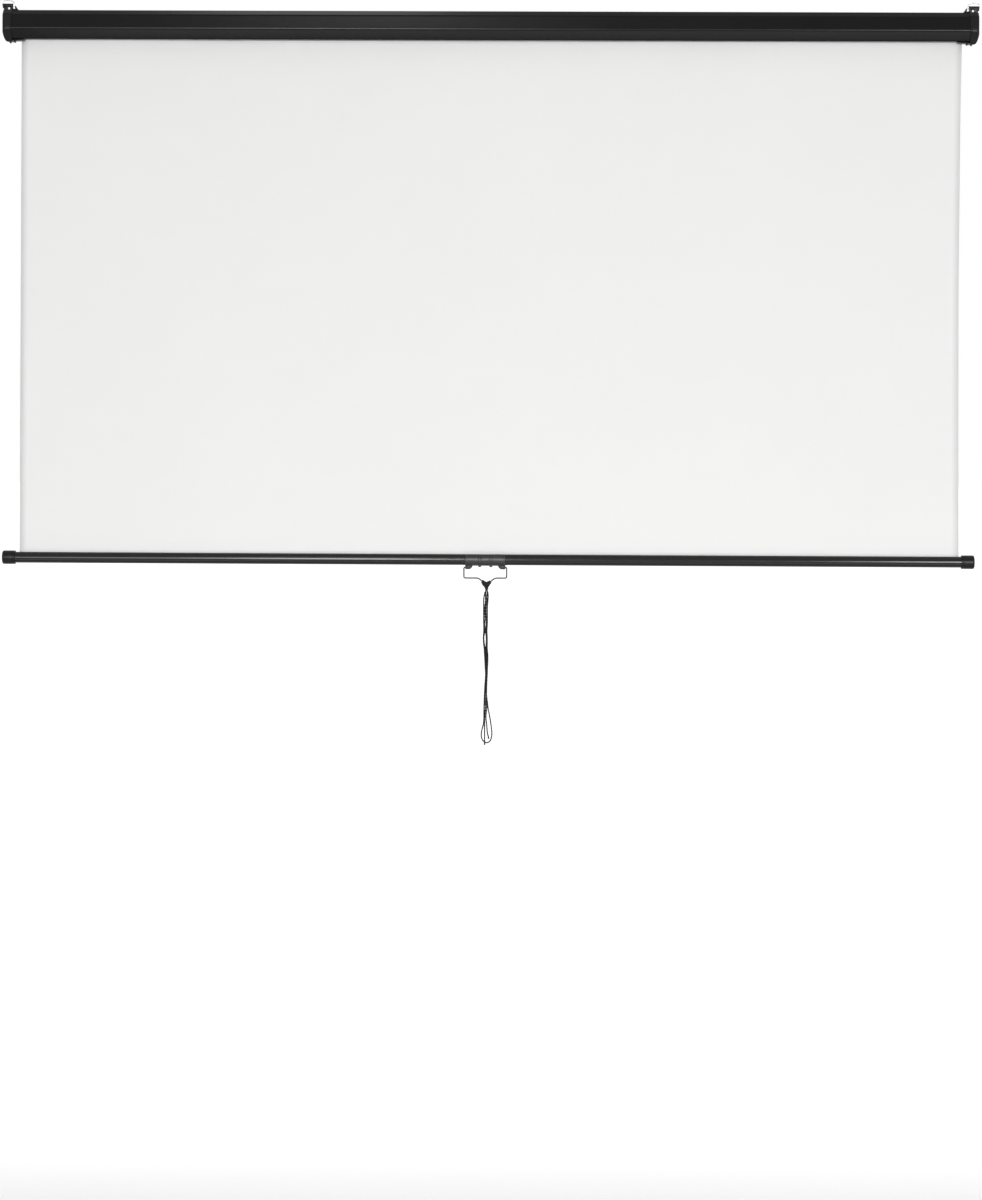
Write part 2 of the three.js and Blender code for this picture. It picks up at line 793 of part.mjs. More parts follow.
function barCap() {
  const bore = barRadius + fit;
  const outer = barCapInner + barCapLength;
  const floor = outer - barCapWall;
  const arc = Array.from({ length: barCapRoundSteps + 1 }, (_, i) => {
    const angle = (Math.PI / 2) * (i / barCapRoundSteps);
    const x = outer - barCapRound + barCapRound * Math.sin(angle);
    return [x, barCapRadius - barCapRound + barCapRound * Math.cos(angle)];
  });
  return turned([
    [floor, 0],
    [floor, bore],
    [barCapInner, bore],
    [barCapInner, barCapRadius],
    ...arc,
    [outer, 0],
  ]);
}

function hemRod() {
  const end = fabricWidth / 2 - hemRodMargin;
  return rod(hemRodRadius, -end, end, [0, 0], smallSides);
}

// Handle clip: an open ring that snaps on the bar from below, with two ears for the wire
const clipInner = barRadius + fit;
const clipOuter = clipInner + clipWall;

const clipScrewPlaces = [
  { name: "left", x: -clipScrewSpacing / 2 },
  { name: "right", x: clipScrewSpacing / 2 },
];

function clipScrewHoles() {
  const span = [barRadius - barWall - overrun, clipOuter + overrun];
  return clipScrewPlaces.map(({ x }) => {
    const hole = rod(clipScrewShankRadius + fit, ...span, [0, 0], smallSides);
    return hole.rotateY(Math.PI / 2).translate(x, 0, 0);
  });
}

function clipSaddle() {
  const from = Math.asin(clipRise / clipOuter);
  const sweep = Math.PI + 2 * from;
  const edge = (radius) => Array.from({ length: clipArcSteps + 1 }, (_, i) => {
    const angle = from - (sweep * i) / clipArcSteps;
    return [radius * Math.cos(angle), radius * Math.sin(angle)];
  });
  return prismX([...edge(clipOuter), ...edge(clipInner).reverse()], -clipHalfWidth, clipHalfWidth);
}

function clipEar(side) {
  const out = side * clipHalfWidth;
  const inner = side * (clipHalfWidth - clipEarWidth);
  const foot = side * (clipHalfWidth - clipEarFootWidth);
  const root = -(clipInner + clipWall / 2);
  const outline = [[out, root], [inner, root], [foot, -clipEarDrop], [out, -clipEarDrop]];
  return prismY(outline, -clipEarDepth / 2, clipEarDepth / 2);
}

function handleClip() {
  const body = joined(clipSaddle(), clipEar(1), clipEar(-1));
  const span = [clipHalfWidth - bailEndInset - fit, clipHalfWidth + overrun];
  const bore = rod(bailWire / 2 + fit, ...span, [0, -bailPivotDrop], smallSides);
  return cut(body, bore, mirrored(bore), ...clipScrewHoles());
}

function clipScrew() {
  const headFrom = clipOuter + fit;
  const profile = [
    [headFrom - clipScrewShankLength, 0],
    [headFrom - clipScrewShankLength, clipScrewShankRadius],
    [headFrom, clipScrewShankRadius],
    [headFrom, clipScrewHeadRadius],
    [headFrom + clipScrewHeadHeight, clipScrewHeadRadius * headTopShare],
    [headFrom + clipScrewHeadHeight, 0],
  ];
  return turned(profile, [0, 0], smallSides).rotateY(Math.PI / 2);
}

function clipScrews() {
  return clipScrewPlaces.map(({ name, x }) => {
    const screw = piece(`clip_screw_${name}`, clipScrew(), blackWire);
    screw.position.x = x;
    return screw;
  });
}

// Wire handle, round its pivot: two short ends in the ears, and a dip that holds the cord
function handlePath() {
  const side = (way) => [
    [way * (clipHalfWidth - bailEndInset), 0],
    [way * bailHalfWidth, 0],
    [way * bailHalfWidth, -bailRunDrop],
    [bailDipShift + way * bailDipHalfWidth, -bailRunDrop],
    [bailDipShift + way * bailDipFlat, -bailDipDrop],
  ];
  const points = [...side(-1), ...side(1).reverse()];
  const corners = [bailCorner, bailCorner, bailDipCorner, bailDipFlat];
  const vectors = points.map(([x, z]) => new THREE.Vector3(x, 0, z));
  return bentPath(vectors, [...corners, ...corners.reverse()]);
}

function handleBail() {
  return tube(handlePath(), bailWire, wireSides, bailSteps);
}

// Knot: two lobes over the handle's dip, drawn together into a round throat below it
function cordKnot() {
  const lobes = [1, -1].map((side) => {
    const lobe = new THREE.SphereGeometry(1, smallSides, knotSteps);
    lobe.scale(knotLobeRadius, knotLobeDepth, knotLobeHeight);
    return lobe.translate((side * knotLobeSpacing) / 2, 0, knotLobeRise);
  });
  const throat = new THREE.SphereGeometry(knotThroatRadius, smallSides, knotSteps);
  throat.translate(0, 0, -knotThroatDrop);
  const profile = [
    [-knotThroatDrop, 0],
    [-knotThroatDrop, knotThroatRadius - fit],
    [knotWaistRise, knotWaistRadius],
    [knotLobeRise, knotWaistRadius],
    [knotLobeRise, 0],
  ];
  const body = turned(profile, [0, 0], smallSides).rotateY(-Math.PI / 2);
  body.scale(1, knotWaistDepth / knotWaistRadius, 1);
  const wireSpace = tube(handlePath(), bailWire + 2 * fit, wireSides, bailSteps);
  return cut(joined(body, throat, ...lobes), wireSpace.translate(-bailDipShift, 0, bailDipDrop));
}

// Cord strands, round the point where they swing: x, y and z of points chosen along each
const strandRise = -knotThroatRadius - fit; // the strands start this far below that point

const loopPoints = [
  [1.3, -1.5, strandRise],
  [1.9, -1.6, -28],
  [1.5, -1.5, -56],
  [1.3, -1.5, -70],
  [1.8, -1.6, -92],
  [1.6, -1.5, -120],
  [1.4, -1.5, -150],
  [1.8, -1.5, -178],
  [4.6, -1.6, -200],
  [8.6, -1.7, -221],
  [12.2, -1.8, -241],
  [9.4, -1.8, -251.6],
  [2.6, -1.8, -255.2],
  [-4.2, -1.8, -251.4],
  [-8.6, -1.8, -243],
  [-6.2, -1.7, -228],
  [-3.1, -1.6, -214],
  [-1.8, -1.5, -190],
  [-1.4, -1.5, -160],
  [-1.3, -1.5, -120],
  [-2.3, -1.6, -92],
  [-1.4, -1.5, -70],
  [-2.6, -1.6, -52],
  [-1.9, -1.5, -36],
  [-3.1, -1.6, -18],
  [-1.3, -1.5, strandRise],
];

const straightTailPoints = [
  [-1.3, 1.5, strandRise],
  [-1.9, 1.6, -30],
  [-1.5, 1.5, -60],
  [-1.4, 1.5, -100],
  [-1.3, 1.5, -150],
  [-1.5, 1.5, -200],
  [-2, 1.6, -235],
  [-2.3, 1.6, -257],
];

const bentTailPoints = [
  [1.3, 1.5, strandRise],
  [1.9, 1.6, -30],
  [1.5, 1.5, -60],
  [1.6, 1.6, -100],
  [1.3, 1.5, -150],
  [1.2, 1.5, -200],
  [1.9, 1.6, -222],
  [3.3, 1.6, -236],
  [5.2, 1.6, -247],
];

const curveOf = (points) => new THREE.CatmullRomCurve3(points.map((p) => new THREE.Vector3(...p)));

function strand(points, steps) {
  return tube(curveOf(points), cordThickness, cordSides, steps);
}

function tipBead(points) {
  const [x, y, z] = points[points.length - 1];
  const bead = new THREE.SphereGeometry(tipRadius, cordSides, cordSides / 2);
  return bead.rotateX(Math.PI / 2).translate(x, y, z - tipRadius - fit);
}

// The least gap between parts of wound or folded wire that lie further apart along it
function leastGap(curve, thickness, apart, samples) {
  const points = curve.getSpacedPoints(samples);
  const skip = Math.ceil((apart / curve.getLength()) * samples);
  let least = Infinity;
  for (let i = 0; i < points.length; i += 1) {
    for (let k = i + skip; k < points.length; k += 1) {
      least = Math.min(least, points[i].distanceTo(points[k]));
    }
  }
  return least - thickness;
}

function printGaps() {
  const halfTurn = Math.PI * springRadius;
  const spring = leastGap(springPath(), springWire, halfTurn, 2 * springTurns * springSteps);
  const loop = leastGap(curveOf(loopPoints), cordThickness, 4 * cordThickness, 8 * loopSteps);
  console.log(`least gap in the spring ${spring.toFixed(2)} mm, in the cord ${loop.toFixed(2)} mm`);
  [loopPoints, straightTailPoints, bentTailPoints].forEach((points) => {
    console.log(`length of cord below the knot ${curveOf(points).getLength().toFixed(0)} mm`);
  });
}

function housing() {
  const [y, z] = rollerAxis;
  return group([0, 0, 0],
    piece("housing_shell", casing(), casingPaint),
    piece("end_cap_right", endCap(bushHole()), blackPlastic),
    piece("end_cap_left", mirrored(endCap(tangHole())), blackPlastic),
    ...capScrews(),
    group([0, y, z],
      piece("spring_spindle", mirrored(spindle()), springSteel),
      piece("ratchet_wheel", mirrored(ratchetWheel()), springSteel),
      piece("idle_bush", idleBush(), greyPlastic),
    ),
  );
}

function roller() {
  const [y, z] = rollerAxis;
  const pins = pawlPlaces.map(({ name, side }) => {
    return piece(`pawl_pin_${name}`, mirrored(pawlPin(side)), brightSteel);
  });
  const pawls = pawlPlaces.map(({ name, side, turn }) => {
    const made = piece(`pawl_${name}`, mirrored(pawl()), springSteel);
    made.position.z = side * pawlPivotRadius;
    made.rotation.x = turn;
    return made;
  });
  return group([0, y, z],
    piece("roller_tube", sleeve(tubeRadius, tubeRadius - tubeWall, -tubeEnd, tubeEnd), springSteel),
    piece("roller_head", mirrored(rollerHead()), greyPlastic),
    piece("idle_plug", tubePlug(idlePinRadius + fit), greyPlastic),
    piece("idle_pin", idlePin(), brightSteel),
    piece("spindle_bush", mirrored(spindleBush()), greyPlastic),
    piece("torsion_spring", mirrored(torsionSpring()), springSteel),
    piece("fabric_roll", woundFabric(), whiteFabric),
    ...pins,
    ...pawls,
  );
}

function screen() {
  const cord = group([bailDipShift, 0, -bailDipDrop - knotThroatDrop],
    piece("cord_loop", strand(loopPoints, loopSteps), blackCord),
    piece("cord_tail_straight", strand(straightTailPoints, tailSteps), blackCord),
    piece("cord_tail_bent", strand(bentTailPoints, tailSteps), blackCord),
    piece("cord_tip_straight", tipBead(straightTailPoints), blackCord),
    piece("cord_tip_bent", tipBead(bentTailPoints), blackCord),
  );
  const knot = piece("cord_knot", cordKnot(), blackCord);
  knot.position.set(bailDipShift, 0, -bailDipDrop);
  const handle = group([0, 0, -bailPivotDrop],
    piece("handle_bail", handleBail(), blackWire),
    knot,
    cord,
  );
  const hem = group([0, 0, hemRise],
    piece("screen_fabric", screenFabric(), whiteFabric),
    piece("hem_rod", hemRod(), greyPlastic),
  );
  const bar = group([barShift, 0, 0],
    piece("bottom_bar", bottomBar(), barPaint),
    piece("bar_cap_right", barCap(), blackPlastic),
    piece("bar_cap_left", mirrored(barCap()), blackPlastic),
  );
  const clip = group([clipShift, 0, 0],
    piece("handle_clip", handleClip(), blackPlastic),
    ...clipScrews(),
    handle,
  );
  return group([0, -fabricSetback, -barDrop], hem, bar, clip);
}

function hangingRings() {
  const [y, z] = barrelPlace;
  return [["left", -1], ["right", 1]].map(([name, side]) => {
    const ring = piece(`hanging_ring_${name}`, hangingRing(), brightSteel);
    ring.position.set(side * barrelMiddle, y, z);
    return ring;
  });
}

printGaps();

export default group([0, 0, 0], housing(), roller(), screen(), ...hangingRings());
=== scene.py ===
# %% [markdown]
# # A pull-down projector screen
# The screen hangs on a wall: a black casing with moulded ends holds a spring roller, and a white
# cloth hangs out of it down to a weighted bar with a wire handle and a pull cord.
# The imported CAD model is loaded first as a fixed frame. Each surface below is worked out in
# numpy from the sizes of the real piece, in metres, and takes the place of the CAD solid that
# stands for it. Solids that are hidden inside, or whose shape is already right, stay.

import bpy
import numpy as np
from mathutils import Matrix


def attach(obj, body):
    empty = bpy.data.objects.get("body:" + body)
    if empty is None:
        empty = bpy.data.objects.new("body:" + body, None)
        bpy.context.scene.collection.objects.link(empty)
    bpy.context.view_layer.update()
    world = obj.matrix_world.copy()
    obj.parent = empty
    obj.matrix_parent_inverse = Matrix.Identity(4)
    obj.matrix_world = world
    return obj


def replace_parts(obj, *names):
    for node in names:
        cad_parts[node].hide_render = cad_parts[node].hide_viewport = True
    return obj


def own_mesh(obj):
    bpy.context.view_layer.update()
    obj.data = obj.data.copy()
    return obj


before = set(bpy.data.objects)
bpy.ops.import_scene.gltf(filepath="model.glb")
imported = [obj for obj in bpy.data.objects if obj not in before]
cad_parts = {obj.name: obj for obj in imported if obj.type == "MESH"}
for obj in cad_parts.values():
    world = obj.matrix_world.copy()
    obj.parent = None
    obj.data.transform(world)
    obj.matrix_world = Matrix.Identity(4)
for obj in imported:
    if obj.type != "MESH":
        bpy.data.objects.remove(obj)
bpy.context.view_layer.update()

# %% [markdown]
# ## Camera
# The photograph was taken from straight in front, with the camera level and its frame moved
# down, as a shift lens does, so the casing's ends stay upright. A camera tilted down would give
# the same place but converging sides, so the shift is used, with the lens of a 5 m distance.

# %% Camera
MM = 0.001
PHOTO_HEIGHT = 1200
SENSOR = 36.0
FOCAL_PIXELS = 3020.3
HORIZON_PIXEL = 369.75
CAMERA_PLACE = (0.0705, -5.0, -0.5653)
CAMERA_YAW, CAMERA_ROLL = np.radians(0.764), np.radians(0.2536)


def make_camera():
    """A level camera that looks along +Y, turned by the yaw and rolled about its own axis."""
    data = bpy.data.cameras.new("photo_camera")
    data.sensor_width = SENSOR
    data.lens = FOCAL_PIXELS * SENSOR / PHOTO_HEIGHT
    data.shift_y = (HORIZON_PIXEL - PHOTO_HEIGHT / 2) / PHOTO_HEIGHT
    camera = bpy.data.objects.new("photo_camera", data)
    level = Matrix.Rotation(np.pi / 2, 4, "X")
    turn = Matrix.Rotation(CAMERA_YAW, 4, "Z") @ level @ Matrix.Rotation(CAMERA_ROLL, 4, "Z")
    camera.matrix_world = Matrix.Translation(CAMERA_PLACE) @ turn
    bpy.context.scene.collection.objects.link(camera)
    bpy.context.scene.camera = camera
    return camera


camera = make_camera()
print(f"lens {camera.data.lens:.1f} mm, shift {camera.data.shift_y:.3f}")

# %% [markdown]
# ## From grids of points to meshes
# Nearly everything here is either an outline carried along a path or a profile turned round an
# axis. Both give a grid of points, rows by columns, and the faces are the quads between
# neighbours. A grid that is closed gets flat faces on its two ends, and the side that its faces
# point to comes from the sign of the volume that they enclose.

# %% Grids


def unit(vectors):
    """Each vector divided by its own length."""
    return vectors / np.linalg.norm(vectors, axis=-1, keepdims=True)


def quads(rows, columns, closed, looped):
    """The four corner numbers of each cell of a grid; closed joins the last column to the
    first, and looped joins the last row to the first."""
    row = np.arange(rows if looped else rows - 1)[:, None]
    column = np.arange(columns if closed else columns - 1)[None, :]
    below, right = (row + 1) % rows, (column + 1) % columns
    corners = (row * columns + column, row * columns + right, below * columns + right,
               below * columns + column)
    return np.stack(np.broadcast_arrays(*corners), -1).reshape(-1, 4)


def fan_volume(points, faces):
    """Six times the volume between the origin and faces that all have the same corner count:
    the triple product of each triangle of the fan from a face's first corner."""
    corners = points[faces]
    first = corners[:, :1]
    return float(np.sum(first * np.cross(corners[:, 1:-1], corners[:, 2:])))


def shell(grid, closed=True, looped=False, ends=True, uv=None):
    """The points, faces and face corner UVs of one surface given as a grid of points."""
    rows, columns = grid.shape[:2]
    points = grid.reshape(-1, 3)
    cells = quads(rows, columns, closed, looped)
    if uv is None:
        uv = np.zeros((rows + looped, columns + closed, 2))
    u = uv.shape[1]
    number = np.arange(uv.shape[0] * u).reshape(uv.shape[0], u)
    corner_uv = np.stack([number[:-1, :-1], number[:-1, 1:], number[1:, 1:], number[1:, :-1]], -1)
    corner_uv = uv.reshape(-1, 2)[corner_uv.reshape(-1, 4)]
    lids = np.empty((0, columns), int)
    if closed and ends and not looped:
        lids = np.stack([np.arange(columns)[::-1], (rows - 1) * columns + np.arange(columns)])
    if closed and fan_volume(points, cells) + (fan_volume(points, lids) if len(lids) else 0) < 0:
        cells, lids, corner_uv = cells[:, ::-1], lids[:, ::-1], corner_uv[:, ::-1]
    flat = [corner_uv.reshape(-1, 2), np.zeros((lids.size, 2))]
    return points, cells.tolist() + lids.tolist(), np.concatenate(flat)


def piece(name, shells, material, body, smooth=40):
    """One object made of one or more shells, riding on a CAD body; edges that turn by less
    than the smooth angle in degrees are shaded round."""
    shells = shells if isinstance(shells, list) else [shells]
    starts = np.cumsum([0] + [len(points) for points, _, _ in shells])
    faces = [[c + start for c in face] for start, (_, fs, _) in zip(starts, shells) for face in fs]
    mesh = bpy.data.meshes.new(name)
    mesh.from_pydata(np.concatenate([points for points, _, _ in shells]), [], faces)
    layer = mesh.uv_layers.new(name="along")
    layer.data.foreach_set("uv", np.concatenate([uv for _, _, uv in shells]).astype("f").ravel())
    mesh.shade_smooth()
    mesh.set_sharp_from_angle(angle=np.radians(smooth))
    mesh.materials.append(material)
    made = bpy.data.objects.new(name, mesh)
    bpy.context.scene.collection.objects.link(made)
    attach(made, body)
    return made


def round_angles(sides):
    """Even angles once round, without the last, which is the first again."""
    return np.linspace(0, 2 * np.pi, sides, endpoint=False)


def arc(radius, angle):
    """The points (radius cos a, radius sin a)."""
    return radius * np.stack([np.cos(angle), np.sin(angle)], -1)


def carried(path, across, outline):
    """An outline carried along a path: each path point plus the outline's two numbers times
    two directions square to the path, of which the second stays nearest to across."""
    ahead = unit(np.gradient(path, axis=0))
    side = unit(np.cross(ahead, np.broadcast_to(across, path.shape)))
    up = np.cross(side, ahead)
    return path[:, None] + outline[..., :1] * side[:, None] + outline[..., 1:] * up[:, None]


def along_x(outline, stations):
    """An outline in y and z repeated at each x."""
    grid = np.empty((len(stations), len(outline), 3))
    grid[..., 0], grid[..., 1:] = np.asarray(stations, float)[:, None], outline[None]
    return grid


def turned(profile, sides, place=(0, 0), axis="x"):
    """A profile of (distance along the axis, radius) turned round the axis: the point at angle
    a is radius cos a and radius sin a off the axis, which passes through place."""
    angle = round_angles(sides)
    along = np.broadcast_to(profile[:, :1], (len(profile), sides))
    first = place[0] + profile[:, 1:] * np.cos(angle)
    second = place[1] + profile[:, 1:] * np.sin(angle)
    order = {"x": (along, first, second), "z": (first, second, along)}[axis]
    return np.stack(order, -1)


def bent(points, reach, steps=6, wrap=False):
    """Straight runs between points with each corner replaced by a curve that starts and ends
    its reach from the corner: (1-t)^2 a + 2 t (1-t) corner + t^2 b. wrap closes the outline."""
    points = np.asarray(points, float)
    before, after = np.roll(points, 1, 0), np.roll(points, -1, 0)
    reach = np.broadcast_to(np.asarray(reach, float), len(points))[:, None]
    a = points + unit(before - points) * reach
    b = points + unit(after - points) * reach
    t = np.linspace(0, 1, steps + 1)[None, :, None]
    curves = (1 - t) ** 2 * a[:, None] + 2 * t * (1 - t) * points[:, None] + t ** 2 * b[:, None]
    if wrap:
        return curves.reshape(-1, points.shape[1])
    inner = curves[1:-1].reshape(-1, points.shape[1])
    return np.concatenate([points[:1], inner, points[-1:]])


def lengths(path):
    """How far along the path each of its points lies: the running sum of the distances."""
    return np.concatenate([[0], np.cumsum(np.linalg.norm(np.diff(path, axis=0), axis=1))])


def evenly(path, step):
    """The same path with points about a step apart, by straight lines between its points."""
    length = lengths(path)
    places = np.linspace(0, length[-1], max(int(round(length[-1] / step)), 2) + 1)
    return np.stack([np.interp(places, length, path[:, k]) for k in range(path.shape[1])], -1)


# %% [markdown]
# ## Materials: small helpers and shared effects
# A material is a Principled shader whose colour, roughness and normal change over the surface.
# What several materials share is built once as a node group: fine grain, drawn streaks, a mask
# for worn edges, and dust that has settled on faces that look up.

# %% Node helpers


def node(tree, kind, inputs=None, **settings):
    """Adds a node, sets its properties, and fills or links its inputs by name or number."""
    made = tree.nodes.new(kind)
    for name, value in settings.items():
        setattr(made, name, value)
    for name, value in (inputs or {}).items():
        if isinstance(value, bpy.types.NodeSocket):
            tree.links.new(value, made.inputs[name])
        else:
            made.inputs[name].default_value = value
    return made


def math_node(tree, operation, *values):
    """The output of a Math node with these inputs."""
    return node(tree, "ShaderNodeMath", dict(enumerate(values)), operation=operation).outputs[0]


def object_place(tree):
    """The object's own coordinates."""
    return node(tree, "ShaderNodeTexCoord").outputs["Object"]


def effect(name, inputs, outputs):
    """An empty node group with float inputs (name: default) and the named float outputs."""
    tree = bpy.data.node_groups.new(name, "ShaderNodeTree")
    for key, value in inputs.items():
        socket = tree.interface.new_socket(key, in_out="INPUT", socket_type="NodeSocketFloat")
        socket.default_value = value
    for key in outputs:
        tree.interface.new_socket(key, in_out="OUTPUT", socket_type="NodeSocketFloat")
    return tree, tree.nodes.new("NodeGroupInput"), tree.nodes.new("NodeGroupOutput")


def noise_at(tree, vector, scale, detail=2.0, rough=0.5):
    """The grey value of a noise pattern of that many cells a metre."""
    inputs = {"Vector": vector, "Scale": scale, "Detail": detail, "Roughness": rough}
    return node(tree, "ShaderNodeTexNoise", inputs).outputs["Fac"]


def make_grain():
    """Two sizes of noise on the object's own coordinates: a fine one as the height of moulded
    or sprayed texture, and a coarse one that makes the finish uneven."""
    tree, given, out = effect("fine_grain", {"Cells": 2500.0, "Patches": 9.0},
                              ["Height", "Patch"])
    where = object_place(tree)
    tree.links.new(noise_at(tree, where, given.outputs["Cells"]), out.inputs["Height"])
    tree.links.new(noise_at(tree, where, given.outputs["Patches"], 4.0), out.inputs["Patch"])
    return tree


def make_streaks():
    """Noise stretched along the object's x axis, as drawing or extruding leaves in metal."""
    tree, given, out = effect("drawn_streaks", {"Cells": 900.0, "Stretch": 0.01}, ["Streak"])
    scale = node(tree, "ShaderNodeCombineXYZ", {0: given.outputs["Stretch"], 1: 1.0, 2: 1.0})
    thin = node(tree, "ShaderNodeVectorMath", {0: object_place(tree), 1: scale.outputs[0]},
                operation="MULTIPLY")
    streak = noise_at(tree, thin.outputs[0], given.outputs["Cells"], 3.0)
    tree.links.new(streak, out.inputs["Streak"])
    return tree


def make_wear():
    """A mask that is 1 on sharp outer edges: how far the normal of a rounded copy of the
    surface leans from the true one, broken up by noise."""
    tree, given, out = effect("edge_wear", {"Width": 0.0006, "Amount": 1.0}, ["Mask"])
    soft = node(tree, "ShaderNodeBevel", {"Radius": given.outputs["Width"]}, samples=4)
    true = node(tree, "ShaderNodeNewGeometry").outputs["Normal"]
    near = node(tree, "ShaderNodeVectorMath", {0: soft.outputs[0], 1: true},
                operation="DOT_PRODUCT")
    lean = math_node(tree, "SUBTRACT", 1.0, near.outputs["Value"])
    broken = math_node(tree, "MULTIPLY", noise_at(tree, object_place(tree), 260.0, 3.0), 5.0)
    mask = math_node(tree, "MULTIPLY", lean, broken)
    full = math_node(tree, "MULTIPLY", mask, given.outputs["Amount"])
    limited = node(tree, "ShaderNodeClamp", {"Value": full})
    tree.links.new(limited.outputs[0], out.inputs["Mask"])
    return tree


def make_dust():
    """A mask for dust: the upward part of the normal, times patchy noise."""
    tree, given, out = effect("settled_dust", {"Amount": 0.3}, ["Mask"])
    normal = node(tree, "ShaderNodeNewGeometry").outputs["Normal"]
    up = node(tree, "ShaderNodeSeparateXYZ", {0: normal}).outputs["Z"]
    facing = node(tree, "ShaderNodeClamp", {"Value": up})
    patchy = noise_at(tree, object_place(tree), 35.0, 6.0, 0.7)
    mask = math_node(tree, "MULTIPLY", facing.outputs[0], patchy)
    tree.links.new(math_node(tree, "MULTIPLY", mask, given.outputs["Amount"]), out.inputs["Mask"])
    return tree


GRAIN, STREAKS, WEAR, DUST = make_grain(), make_streaks(), make_wear(), make_dust()


def use(tree, group, **inputs):
    """Places a shared effect in a material and returns its outputs."""
    return node(tree, "ShaderNodeGroup", inputs, node_tree=group).outputs


def mixed(tree, factor, first, second):
    """A colour between first and second by the factor. A Mix node has sockets for every data
    type, and those for a colour have these numbers."""
    inputs = {0: factor, 6: first, 7: second}
    return node(tree, "ShaderNodeMix", inputs, data_type="RGBA").outputs[2]


def between(tree, value, low, high, start=0.0, end=1.0):
    """A value from start to end spread evenly from low to high, and held beyond them."""
    inputs = {"Value": value, "From Min": start, "From Max": end, "To Min": low, "To Max": high}
    return node(tree, "ShaderNodeMapRange", inputs).outputs[0]


def grey(level, tint=(1.0, 1.0, 1.0)):
    """A colour of that linear level, leaning to the tint."""
    return (*[level * t for t in tint], 1.0)


def material(name, **constants):
    """A new material with a Principled shader and its constant values set on it."""
    made = bpy.data.materials.new(name)
    made.use_nodes = True
    shader = made.node_tree.nodes["Principled BSDF"]
    for key, value in constants.items():
        shader.inputs[key.replace("_", " ")].default_value = value
    return made, made.node_tree, shader


def finish(tree, shader, color, roughness, height, distance, strength=0.4):
    """Links colour and roughness, and a bump of that distance in metres from the height."""
    tree.links.new(color, shader.inputs["Base Color"])
    tree.links.new(roughness, shader.inputs["Roughness"])
    inputs = {"Height": height, "Distance": distance, "Strength": strength}
    bump = node(tree, "ShaderNodeBump", inputs)
    tree.links.new(bump.outputs[0], shader.inputs["Normal"])


# %% [markdown]
# ## Painted metal and moulded plastic
# The casing and the bar are black painted metal: dark, half glossy, with the faint orange peel
# of sprayed paint, a little dust on top and paint rubbed thin on the edges. The end caps, bar
# caps and clip are moulded black plastic with a fine matt grain. Both are the same recipe with
# other numbers, so one function makes them.

# %% Paint and plastic


def coated(name, level, tint, gloss, grain, wear, dust, specular):
    """A dark or grey coating: gloss is its lowest and highest roughness, grain the cells a
    metre and the height of its texture, wear and dust how strong each is."""
    made, tree, shader = material(name, Specular_IOR_Level=specular)
    texture = use(tree, GRAIN, Cells=grain[0])
    worn = use(tree, WEAR, Amount=wear)["Mask"]
    dusty = use(tree, DUST, Amount=dust)["Mask"]
    base = mixed(tree, texture["Patch"], grey(level * 0.75, tint), grey(level * 1.25, tint))
    rubbed = mixed(tree, worn, base, grey(min(level * 4 + 0.03, 0.8), tint))
    color = mixed(tree, dusty, rubbed, grey(0.32, (1.0, 0.98, 0.95)))
    finish(tree, shader, color, between(tree, texture["Patch"], *gloss), texture["Height"],
           grain[1])
    return made


CASING_PAINT = coated("casing_paint", 0.0035, (1, 1, 1.03), (0.18, 0.25), (1400.0, 0.00002),
                      0.12, 0.02, 0.12)
BAR_PAINT = coated("bar_paint", 0.004, (1, 1, 1.04), (0.12, 0.18), (1600.0, 0.00002),
                   0.12, 0.02, 0.26)
BLACK_PLASTIC = coated("black_plastic", 0.004, (1, 1, 1.02), (0.26, 0.36), (4200.0, 0.00003),
                       0.15, 0.03, 0.16)
CLIP_PLASTIC = coated("clip_plastic", 0.015, (1, 1, 1.03), (0.24, 0.36), (3800.0, 0.00003),
                      0.2, 0.03, 0.36)
GREY_PLASTIC = coated("grey_plastic", 0.26, (1, 1.01, 1.02), (0.45, 0.6), (3600.0, 0.00004),
                      0.1, 0.03, 0.4)
BLACK_WIRE = coated("black_wire", 0.012, (1, 1, 1.05), (0.28, 0.42), (3000.0, 0.00003),
                    0.5, 0.0, 0.45)

# %% [markdown]
# ## Bare metal
# Rings, screws, pins, the spindle and the spring are bare steel. Drawn or turned metal shows
# fine lines along its length, so the streaks move its roughness and its grey.

# %% Metal


def bare_metal(name, level, tint, gloss, cells, stretch):
    """Steel of that grey, its roughness and shade moved by drawn streaks."""
    made, tree, shader = material(name, Metallic=1.0)
    streak = use(tree, STREAKS, Cells=cells, Stretch=stretch)["Streak"]
    patch = use(tree, GRAIN, Cells=900.0, Patches=60.0)
    base = mixed(tree, streak, grey(level * 0.8, tint), grey(level * 1.1, tint))
    color = mixed(tree, between(tree, patch["Patch"], 0.0, 0.35), base, grey(level * 0.55, tint))
    finish(tree, shader, color, between(tree, streak, *gloss), streak, 0.00002)
    return made


BRIGHT_STEEL = bare_metal("bright_steel", 0.5, (1, 1, 1.01), (0.18, 0.34), 2200.0, 0.2)
SPRING_STEEL = bare_metal("spring_steel", 0.2, (1, 0.97, 0.93), (0.3, 0.5), 1500.0, 0.05)

# %% [markdown]
# ## Screen cloth and cord
# The cloth is a matt white coating on a fine weave, which shows only close up. Its pattern is
# laid on the cloth's own UV map, in metres, so that it stays on the cloth when the screen is
# rolled up. The cord is a round braid of dull black yarn, and its two families of yarn also
# come from its UV map, one number along it and the other round it.

# %% Cloth and braid


